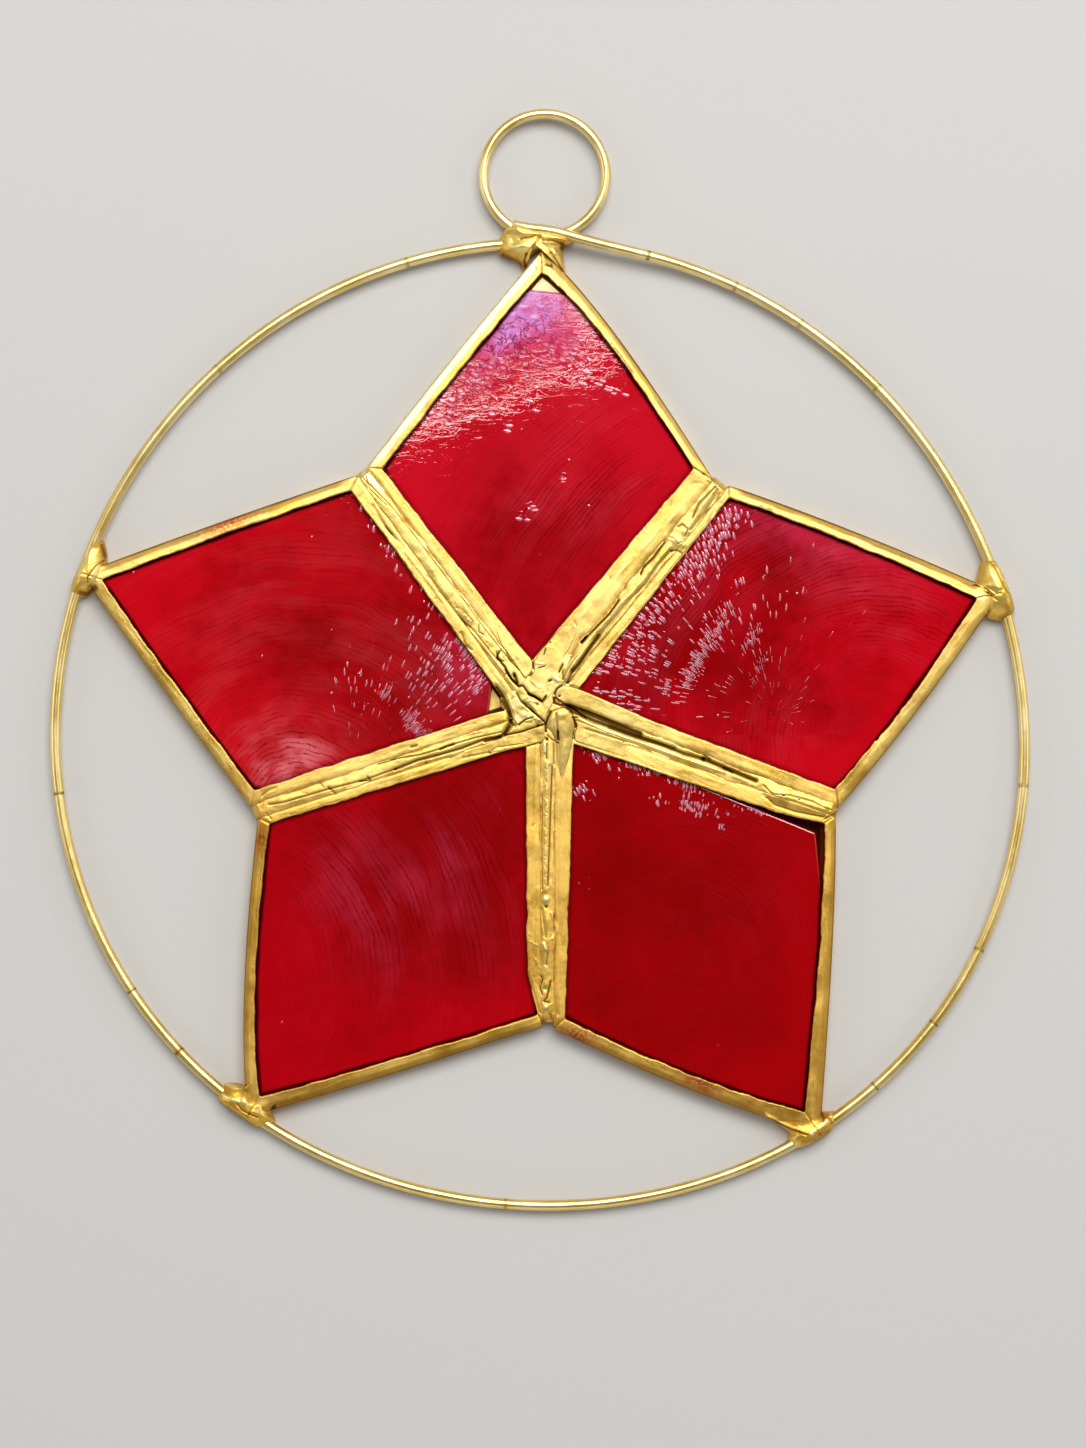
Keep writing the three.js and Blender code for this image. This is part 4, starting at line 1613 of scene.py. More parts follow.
    def ring_skin(self) -> Skin:
        """Builds the hanging ring, open at the bottom where the solder holds it.

        The wire's middle is a circle from the first heading to the last.

        Returns:
            The closed surface.
        """
        count = self.counts[2]
        heading = np.linspace(self.ring_from, self.ring_to, count)
        turn = np.radians(heading)
        path = np.asarray(self.ring_middle) + np.stack([np.sin(turn), np.cos(turn)], -1) * self.ring_radius
        grime = 0.25 * step(0.3, 0.9, grain(heading * 0.07, 0 * heading, 9, 3))
        return self.tube(path, np.full(count, self.ring_wire), np.full(count, self.ring_lift), 8, grime)


# Marks as rows: half width, rise and darkening (dirt and painted shade in creases; negative: worn bright and
# painted highlight), then x and y on the plan of each place on the line

UPPER_RIGHT_SEAM = (
    (0.1, 0.05, -0.28, 573.3, 626.7, 582.2, 615.6, 626.7, 564.4, 680, 507.8, 702.2, 482.2),
    (0.11, -0.18, 0.96, 581.1, 642.2, 595.6, 627.8, 608.9, 614.4, 618.9, 600),
    (0.09, -0.18, 0.96, 640.4, 574.4, 643.3, 567.8, 653.3, 557.8, 664.4, 542.2),
    (0.42, 0.12, 0, 564.4, 676.7, 573.3, 661.1, 593.3, 634.4, 617.8, 605.6, 633.3, 591.1, 653.3, 567.8,
     668.9, 546.7),
    (0.2, -0.14, 0.4, 575.6, 670, 588.9, 647.8, 612.2, 621.1, 626.7, 603.3, 644.4, 585.6, 657.8, 565.6,
     671.1, 551.1),
    (0.09, -0.12, 0.8, 670, 551.1, 676.7, 550.4, 681.1, 553.3), (0.25, 0, 0.36, 565.6, 675.6, 573.3, 665.6),
    (0.36, 0.13, -0.12, 668.9, 538.9, 675.6, 540.7, 682.2, 544.4),
    (0.07, -0.07, 0.72, 668.9, 536.7, 673.3, 537.8, 677.8, 544.4, 681.8, 542.2),
    (0.09, -0.09, 0.64, 677.8, 527.3, 682.2, 524.7, 687.8, 529.6, 684.9, 536.7),
    (0.1, -0.13, 0.64, 692.2, 517.8, 698.9, 503.3, 706.7, 495.6, 715.6, 486.7),
    (0.18, -0.12, 0.44, 691.1, 530, 702.2, 515.6, 713.3, 498.9, 716.7, 490),
    (0.34, 0.09, 0, 684.4, 532.2, 697.8, 513.3, 711.1, 492.2),
    (0.12, -0.05, 0.24, 706.7, 524.4, 713.3, 512.2, 718.9, 494.4), (0.12, -0.06, 0.72, 636.7, 539.3),
    (0.12, -0.06, 0.72, 644, 534.4), (0.11, -0.06, 0.72, 610, 577.8), (0.1, -0.03, 0.56, 645.6, 528.2),
    (0.14, -0.03, 0.4, 671.1, 503.3, 668.9, 507.8), (0.1, -0.02, 0.32, 626.7, 565.6, 633.3, 557.8),
    (0.1, -0.06, 0.48, 573.3, 621.1, 576.7, 625.6), (0.08, -0.02, 0.28, 602.2, 596.7, 618.9, 597.8),
    (0.1, -0.06, 0.48, 702.2, 474.4, 708.9, 473.3), (0.08, -0.05, 0.4, 693.3, 483.3, 713.3, 483.3),
)

LOWER_RIGHT_SEAM = (
    (0.09, -0.11, 0.81, 555.6, 697.8, 563.3, 703.3, 572.2, 707.8, 585.6, 717.8),
    (0.09, -0.11, 0.72, 554.4, 694.4, 556.7, 688.9, 562.2, 685.1), (0.1, -0.22, 1.17, 559.3, 696.2),
    (0.2, -0.21, 0.81, 572.2, 711.1, 594.4, 721.1, 627.8, 733.3, 661.1, 744.4, 683.3, 753.3, 703.3, 758.9),
    (0.2, -0.08, 0.45, 610, 727.3, 643.3, 738.9, 674.4, 747.8),
    (0.23, -0.22, 0.99, 703.3, 758.9, 727.8, 768.9, 755.6, 780.7),
    (0.15, 0.1, -0.23, 574.4, 716.7, 605.6, 731.1, 638.9, 742.2, 672.2, 754.4, 701.1, 764.4, 723.3, 772.2),
    (0.08, -0.08, 0.81, 607.8, 733.3), (0.07, -0.08, 0.72, 623.3, 742.2), (0.07, -0.08, 0.81, 661.1, 747.8),
    (0.08, -0.09, 0.9, 680, 756.7), (0.07, -0.08, 0.81, 690, 760), (0.07, -0.08, 0.81, 715.6, 773.3),
    (0.11, -0.08, 0.32, 585.6, 728.9, 638.9, 745.6, 683.3, 763.3, 727.8, 782.2, 763.3, 795.6),
    (0.5, 0.2, 0, 770, 792.2, 794.4, 800, 823.3, 808.9),
    (0.08, -0.08, 0.54, 763.3, 785.6, 772.2, 794.4, 790, 794.9, 812.2, 801.1, 830, 810),
    (0.12, -0.17, 0.77, 763.3, 794.4, 774.4, 804.4, 794.4, 811.1, 823.3, 816.7),
    (0.1, -0.11, 0.99, 783.3, 795.6), (0.1, -0.11, 0.99, 798.9, 799.3),
    (0.1, -0.11, 0.72, 824.4, 819.3, 836.7, 812.2, 845.6, 803.3),
    (0.1, -0.08, 0.81, 703.3, 754.4, 710, 758.9), (0.12, -0.08, 0.72, 723.3, 767.8, 732.2, 772.2),
)

LOWER_SEAM = (
    (0.3, 0.08, -0.09, 547.1, 763.3, 546.7, 796.7, 545.6, 845.6, 544.4, 890),
    (0.07, -0.11, 0.64, 542.2, 794.4, 541.8, 845.6, 542.2, 890),
    (0.06, -0.04, 0.3, 539.6, 810, 539.1, 885.6),
    (0.09, -0.12, 0.72, 552.2, 765.6, 550.7, 801.1, 549.3, 845.6, 547.8, 885.6),
    (0.12, 0.04, 0.21, 555.6, 767.8, 554.7, 814.4, 553.3, 881.1),
    (0.1, -0.04, 0.26, 558.2, 814.4, 558.9, 890, 557.3, 923.3),
    (0.08, -0.04, 0.21, 533.3, 763.3, 532.4, 827.8), (0.07, -0.04, 0.26, 535.6, 858.9, 534.4, 943.3),
    (0.34, 0.12, -0.51, 545.6, 898.9), (0.15, -0.24, 1.1, 546, 906.2),
    (0.16, -0.06, 0.42, 541.8, 908.9, 544.4, 925.6, 545.6, 936.7),
    (0.1, 0.06, -0.3, 551.1, 912.2, 556.7, 930, 552.2, 938.9),
    (0.18, 0.08, -0.42, 543.3, 943.3, 545.6, 948.9), (0.12, -0.11, 0.59, 547.8, 952.2, 546.2, 964.4),
    (0.1, 0.04, -0.26, 535.6, 958.9, 540.4, 967.8),
    (0.08, -0.11, 0.81, 541.1, 975.6, 542.7, 978.9, 540, 986.7, 542.2, 994.4),
    (0.1, -0.14, 0.77, 550.7, 981.1, 547.1, 996.7, 544, 1001.1, 549.3, 1002.2),
    (0.22, -0.08, 0.17, 545.6, 988.9), (0.22, 0.09, -0.51, 545.6, 1006.7),
    (0.14, -0.08, 0.51, 550, 1014.4, 552.2, 1018.9), (0.12, -0.04, 0.34, 555.6, 996.7, 558.2, 1014.4),
    (0.09, -0.08, 0.42, 527.8, 971.1, 533.3, 990, 539.6, 1012.2),
    (0.05, -0.04, 0.51, 531.1, 825.6, 535.6, 824.4), (0.06, 0.04, -0.42, 554.4, 830, 560, 827.8),
    (0.06, 0.03, -0.42, 530, 941.1, 536.7, 944.4), (0.3, -0.15, 0.51, 544.4, 1021.1),
    *(
        (
            0.06, -0.03, 0.4, 544.2, 768.0 + 6.1 * i + 2.9 * math.sin(i * 2.3),
            546.8, 769.4 + 6.1 * i + 2.2 * math.sin(i * 3.7),
        )
        for i in range(20)
    ),
)

LOWER_LEFT_SEAM = (
    (0.16, -0.18, 0.81, 500, 736.7, 484.4, 739.3, 462.2, 747.8, 440, 754.4, 417.8, 760, 395.6, 768.9),
    (0.09, -0.14, 0.68, 395.6, 768.9, 364.4, 780, 328.9, 788.9, 284.4, 802.2, 268.9, 804.4),
    (0.07, -0.09, 0.72, 502.2, 732.2, 475.6, 737.8, 453.3, 744.4, 440, 748.9, 422.2, 754.4, 395.6, 758.9,
     377.8, 764.4),
    (0.1, -0.08, 0.94, 411.1, 747.1, 417.1, 745.3),
    (0.1, -0.09, 0.85, 440, 749.3, 446.7, 746.2, 453.8, 744),
    (0.08, -0.09, 0.77, 360, 781.1, 371.1, 780.4, 367.8, 776.7),
    (0.1, -0.09, 0.59, 328.9, 787.1, 335.6, 793.3, 332, 791.6),
    (0.07, -0.08, 0.59, 320, 782.7, 323.3, 787.1),
    (0.08, -0.08, 0.42, 262.2, 796, 268.9, 790.4, 276.7, 787.8),
    (0.08, -0.08, 0.51, 266.7, 813.3, 271.1, 818.9),
    (0.25, 0, 0.26, 364.4, 761.1, 377.8, 760, 395.6, 755.6),
    (0.09, -0.08, 0.42, 462.2, 758.2, 486.7, 752.7, 490.7, 753.3),
    (0.07, -0.04, 0.34, 490, 752.2, 495.6, 747.8, 522.2, 744),
    (0.22, -0.14, 0.47, 491.1, 693.3, 502.2, 702.2, 510, 715.6, 512.2, 724.4, 504.4, 733.3),
    (0.1, -0.11, 0.85, 503.3, 710.2, 493.3, 712.4), (0.06, 0.03, -0.51, 483.3, 706.7, 484.4, 724.4),
    (0.1, 0.04, -0.17, 382.2, 758.9, 440, 742.2, 480, 731.1), (0.08, -0.08, 0.77, 425.6, 762.2),
    (0.07, -0.08, 0.59, 306.7, 793.3), (0.05, -0.04, 0.42, 462.2, 726.7, 475.6, 723.3),
    (0.1, 0.04, -0.26, 346.7, 788.9, 382.2, 778.9),
)

UPPER_LEFT_SEAM = (
    (0.07, -0.06, 0.42, 363.3, 478.9, 394.4, 510, 423.3, 547.8, 443.3, 574.4, 465.6, 603.3, 483.3, 627.8,
     501.1, 650, 518.9, 670),
    (0.09, 0.03, -0.27, 425.6, 547.8, 447.8, 574.4, 470, 605.6),
    (0.08, -0.08, 0.42, 372.2, 505.6, 390, 532.2, 416.7, 561.1, 434.4, 583.3, 454.4, 610, 474.4, 632.2,
     492.2, 654.4, 514.4, 683.3),
    (0.05, 0.01, 0.3, 450.4, 601.6, 454.4, 599.3, 457.8, 603.8, 454, 607.3, 450.4, 603.3),
    (0.05, 0.01, 0.21, 466.7, 595.6, 470, 593.3, 472.7, 596.7, 469.1, 598.9, 466.7, 595.6),
    (0.07, -0.04, 0.48, 465.6, 613.3, 472.7, 621.1, 470.7, 627.8, 461.1, 619.3),
    (0.22, 0.05, -0.12, 467.8, 620), (0.1, -0.05, 0.6, 435.6, 598.9), (0.09, -0.05, 0.54, 416.7, 566),
    (0.09, -0.05, 0.54, 456.7, 608.2), (0.07, -0.05, 0.42, 426.7, 574.4, 431.1, 583.3),
    (0.16, -0.02, 0.33, 375.6, 514.4, 383.3, 523.3, 395.6, 538.9),
    (0.12, -0.04, 0.36, 385.6, 526.7, 392.2, 534.4),
    (0.09, -0.05, 0.3, 365.6, 476.7, 370, 490, 378.9, 498.9, 386.7, 505.6),
    (0.08, -0.05, 0.3, 363.3, 492.2, 360, 497.8), (0.12, 0.04, -0.12, 372.2, 490, 374.4, 503.3),
    (0.36, 0.01, -0.48, 363.3, 472.2, 374.4, 483.3, 383.3, 490),
    (0.08, -0.07, 0.66, 478.9, 624.4, 478.9, 632.2, 483.3, 634.9),
    (0.09, -0.07, 0.72, 496.7, 651.8, 497.8, 658.9, 503.8, 661.6), (0.16, -0.14, 0.84, 514.4, 675.6),
    (0.08, -0.07, 0.6, 505.6, 670, 512.2, 678.9, 518.9, 685.6),
    (0.13, -0.09, 0.48, 461.1, 633.3, 465.6, 645.6, 471.1, 650),
    (0.05, -0.02, 0.3, 501.1, 650, 514.4, 663.3), (0.05, -0.02, 0.3, 505.6, 661.1, 518.9, 660),
    (0.16, 0.05, -0.06, 405.6, 552.2, 423.3, 574.4, 443.3, 601.1),
    (0.18, 0.05, -0.12, 474.4, 634.4, 492.2, 656.7, 505.6, 672.2), (0.08, -0.05, 0.66, 404.4, 504.4),
    (0.07, -0.05, 0.6, 428.9, 534.4),
)

HUB_MARKS = (
    (0.08, -0.12, 1.1, 497.2, 657.8, 498.1, 653.9, 500, 651.1),
    (0.1, -0.2, 1.2, 497.2, 657.8, 505, 667.2, 508.3, 673.9, 511.7, 679.4, 518.3, 686.3, 522.8, 685.6,
     528.9, 693.9, 535, 697.2, 542.2, 701.7, 546.1, 696.1),
    (0.15, -0.2, 0.9, 528.9, 694.1, 533.9, 695.9, 540.6, 700),
    (0.14, -0.2, 1.1, 514.1, 674.1, 515.6, 677.8, 517.4, 682.8),
    (0.08, -0.15, 1.1, 516.7, 693.3, 520.6, 700.6, 526.1, 706.1, 535, 712.8, 545, 722.2),
    (0.16, -0.12, 0.6, 523.3, 701.7, 529.4, 706.1, 533.9, 711.7), (0.14, -0.2, 0.9, 537.2, 703.9),
    (0.06, 0.05, -0.4, 523.9, 701.7, 529.4, 700.6, 533.9, 701.7),
    (0.22, -0.2, 0.6, 496.1, 686.7, 501.7, 693.9, 506.1, 702.8, 510.6, 712.8, 510, 721.7, 506.1, 731.7),
    (0.08, -0.1, 1, 496.1, 686.7, 500.6, 692.8, 503.3, 697.2),
    (0.08, -0.12, 1, 518.3, 725, 525.6, 719.4, 532.8, 717.2),
    (0.08, -0.15, 0.95, 545.6, 723.9, 533.9, 727.4, 521.7, 731.7, 505, 735),
    (0.06, -0.05, 0.7, 511.1, 699.4, 513.3, 697.2),
    (0.12, -0.12, 0.5, 508.9, 711.7, 511.1, 722.8, 515, 726.1),
    (0.09, -0.15, 1.1, 562.8, 664.4, 558.9, 672.2), (0.1, -0.15, 0.9, 551.7, 680, 548.9, 681.1),
    (0.08, -0.1, 0.9, 570.6, 657.2),
    (0.2, -0.22, 0.6, 598.3, 635, 589.4, 649.4, 579.4, 662.8, 572.8, 670.6),
    (0.18, -0.12, 0.7, 572.8, 670.6, 569.4, 678.3, 567.2, 682.8),
    (0.13, -0.3, 1.2, 586.1, 637.2, 581.7, 642.2), (0.1, -0.12, 0.6, 562.8, 671.7, 562.8, 679.4),
    (0.18, 0.15, -0.8, 556.1, 678.9, 558.3, 680.6),
    (0.14, -0.2, 0.9, 553.9, 698.3, 554.4, 702.8, 560.6, 705, 567.2, 705.6),
    (0.09, -0.12, 0.8, 529.4, 676.1, 531.7, 673.3), (0.08, -0.12, 0.8, 532.8, 662.2, 533.3, 668.3),
    (0.2, -0.06, 0.35, 531.7, 683.9, 535, 687.2), (0.06, -0.06, 0.6, 538.3, 668.3, 545, 666.1),
    (0.06, -0.05, 0.6, 543.9, 655, 545.6, 648.3), (0.07, -0.08, 0.8, 550.1, 642.8),
    (0.1, 0.05, -0.4, 535, 662.8, 542.8, 663.9),
    (0.1, -0.14, 0.9, 550.6, 711.7, 548.3, 717.2, 546.1, 722.8),
    (0.12, -0.16, 0.4, 556.1, 713.9, 557, 723.9, 557.8, 731.7),
    (0.13, -0.25, 1.1, 557.8, 731.7, 558.3, 739.4), (0.12, 0.1, -0.5, 553, 717.2, 552.2, 727.2),
    (0.07, -0.1, 0.8, 547.2, 735, 551.7, 739.4, 556.1, 742.2, 558.9, 742.8),
    (0.09, -0.2, 1.2, 545.6, 724.4, 545.9, 731.7), (0.15, -0.3, 1.2, 546.8, 738.9),
    (0.14, 0.12, -0.6, 545, 744.4, 545.2, 751.7), (0.07, -0.1, 0.9, 546.7, 743.9, 546.3, 758.3),
    (0.12, 0.04, -0.1, 548.9, 743.9, 549.4, 763.9), (0.1, -0.12, 0.6, 553.9, 743.9, 553.7, 763.9),
    (0.1, -0.18, 1.1, 572.8, 717.2, 577.2, 717.4),
    (0.09, -0.18, 0.9, 573.9, 719.4, 576.3, 726.1, 573.9, 732.8, 573.9, 739.4),
    (0.08, -0.12, 0.8, 527.2, 746.4, 533.9, 744.4, 541.7, 742.6),
    (0.08, -0.12, 0.9, 485, 713.3, 495, 711.4, 503.7, 709.7), (0.09, -0.1, 0.8, 493.9, 705.2),
    (0.16, -0.2, 0.8, 485, 741.1, 496.1, 738.3, 505, 733.9), (0.06, -0.06, 0.8, 488.3, 751.1, 490, 753.4),
    (0.05, -0.03, 0.4, 505, 660.6, 503.3, 657.8, 506.1, 656.1),
    (0.05, -0.03, 0.35, 515, 657.8, 518.3, 659.4), (0.06, -0.06, 0.8, 503.9, 676.7, 506.1, 673.3),
    (0.05, -0.04, 0.5, 506.1, 681.7, 510.6, 685), (0.07, -0.06, 0.6, 487.2, 642.8),
)

TOP_MARKS = (
    (0.45, 0.12, -0.25, 501.7, 233.9, 509.4, 232.8, 518.3, 231.7, 529.4, 232.8),
    (0.5, 0.9, 0.0, 505, 229, 513, 227, 522, 230, 535, 232.5, 547, 234, 560, 236.5, 572, 240),
    (0.1, -0.14, 0.75, 520.3, 239.7, 525, 238.3, 529.4, 238.3, 534.4, 236.7),
    (0.1, 0.05, -0.3, 522.8, 241.1, 527.2, 240.8, 531.7, 240),
    (0.35, 0.15, -0.35, 516.1, 247.2, 527.2, 245, 535, 241.7),
    (0.12, -0.15, 0.5, 540.6, 237.2, 533.9, 247.2, 526.1, 255),
    (0.15, -0.2, 0.8, 526.1, 255, 524.4, 260.6, 526.1, 267.2),
    (0.11, 0.25, -0.4, 541.9, 237.2, 551.7, 238.3, 560.6, 239.7, 566.7, 241.4),
    (0.14, -0.15, 0.7, 542.8, 240.6, 551.7, 241.4, 562.8, 243.9), (0.12, -0.25, 1.2, 538.3, 253.9),
    (0.09, -0.15, 0.9, 537.2, 253.3, 540.6, 255.6), (0.22, 0.18, -0.8, 553.9, 250.6, 554.8, 253.9),
    (0.22, 0.15, -0.3, 557.2, 252.8, 561.7, 260.6, 565, 271.7),
    (0.09, -0.15, 0.7, 550.6, 252.8, 556.1, 260.6, 562.8, 270.6),
    (0.25, 0.14, -0.5, 545, 242.8, 548.3, 245.6), (0.2, 0.05, 0.2, 547.2, 249.4, 549.4, 252.8),
    (0.3, -0.3, 1, 562.8, 247.2, 569.4, 249.4), (0.06, -0.1, 0.9, 570.6, 237.2, 573.3, 242.2, 580, 247.2),
    (0.07, -0.1, 0.9, 551.7, 228.3, 558.3, 231.1, 570.6, 234.4),
    (0.06, -0.08, 0.9, 533.9, 268.3, 535.6, 270.6, 536.1, 267.8),
    (0.07, -0.08, 0.7, 545, 265.6, 552.2, 267), (0.05, -0.05, 0.5, 535, 261.7, 542.8, 262.8),
    (0.3, 0.1, -0.55, 508, 239, 511, 246, 520, 251, 530, 248),
    (0.4, -0.08, 0.5, 503, 255, 512, 260, 520, 264),
)

HUB_GAP_MARKS = (
    (0.28, -0.28, 1.15, 569, 706.5, 585, 712, 600, 718, 640, 734),
    (0.08, -0.1, 0.7, 570, 685.5, 596, 695, 640, 714),
)

RIGHT_MARKS = (
    (0.1, -0.14, 0.5, 993, 564, 998, 575.5, 1004, 588.5, 1008, 593),
    (0.2, 0.1, -0.5, 996.5, 564.5, 1002.5, 577.5, 1008, 590),
    (0.3, 0.05, -0.4, 986, 564, 990, 575, 997, 588), (0.5, 0, 0.35, 1001, 603, 1008, 611, 1004, 617),
    (0.08, 0.08, -0.5, 975, 582, 986, 588, 995, 595), (0.1, -0.15, 0.6, 976, 585, 987, 592, 996, 600),
    (0.5, 0.03, -0.4, 980, 591, 986, 600, 984, 611),
)

LOWER_RIGHT_MARKS = (
    (0.08, 0.16, -0.8, 766, 1115.5, 790, 1126, 812, 1133.5),
    (0.1, -0.15, 0.8, 770, 1119.5, 790, 1128.5, 806, 1134),
    (0.3, 0.12, -0.5, 812, 1132, 819, 1128, 826.5, 1121), (0.12, -0.2, 0.7, 822, 1112, 823, 1120),
    (0.25, 0.12, -0.6, 831, 1114, 833, 1120), (0.2, 0.1, -0.5, 836, 1112, 838, 1119),
    (0.07, -0.1, 0.7, 829, 1117, 832, 1124), (0.3, 0.1, -0.6, 794, 1139, 796, 1146),
    (0.5, 0, 0.4, 803, 1141, 815, 1139, 827, 1131),
)

LOWER_LEFT_MARKS = (
    (0.22, 0.16, -0.8, 226, 1085, 234, 1086.5, 246, 1087.5), (0.06, -0.1, 0.9, 236, 1084, 247, 1085.5),
    (0.5, 0.15, -0.6, 245, 1100), (0.14, -0.2, 0.7, 237, 1103, 243, 1110, 252, 1114.5, 258, 1117),
    (0.7, 0.12, -0.4, 262, 1108), (0.2, -0.2, 1.1, 273.5, 1108),
    (0.25, 0.08, -0.5, 222, 1094, 230, 1098, 238, 1101), (0.4, 0, 0.35, 228, 1108, 240, 1117, 252, 1125),
)

LEFT_MARKS = (
    (0.35, 0.12, -0.5, 92, 548, 86, 560, 80, 575), (0.25, -0.05, 0.5, 101, 545, 104, 556),
    (0.07, -0.1, 0.9, 104, 560, 96, 567, 88, 577.5, 88.5, 583), (0.45, 0.1, -0.6, 100, 568, 94, 577),
    (0.35, -0.1, 0.6, 80, 592, 88, 594, 95, 588),
)


def strokes(rows: Sequence[Sequence[float]]) -> tuple[Stroke, ...]:
    """Makes strokes from rows of half width, rise, grime and the places of the line."""
    return tuple(Stroke(pairs(*row[3:]), *row[:3]) for row in rows)


def patches(*rows: Sequence[float]) -> tuple[Patch, ...]:
    """Makes patches from rows of x and y on the plan, two sizes, turn and strength."""
    return tuple(Patch(row[:2], row[2:4], *row[4:]) for row in rows)


def seams() -> dict[str, Seam]:
    """Lists the five seams with the marks along them, drawn on the plan.

    Returns:
        The seams by name.
    """
    sizes = {
        "upper_right": ((720, 484), (-0.34, 1.5), (0.05, 1.5), 0.1, UPPER_RIGHT_SEAM),
        "lower_right": ((835, 811), (-0.35, 1.9), (0.02, 1.0), 0.06, LOWER_RIGHT_SEAM),
        "lower": ((549, 1020), (-0.67, 1.4), (0.1, 1.1), 0.12, LOWER_SEAM),
        "lower_left": ((255, 811), (-1.12, 1.5), (-0.12, 1.25), 0.1, LOWER_LEFT_SEAM),
        "upper_left": ((364, 472), (-0.5, 1.7), (-0.11, 1.1), 0.1, UPPER_LEFT_SEAM),
    }
    return {name: Seam(name, *row, strokes(rows)) for name, (*row, rows) in sizes.items()}


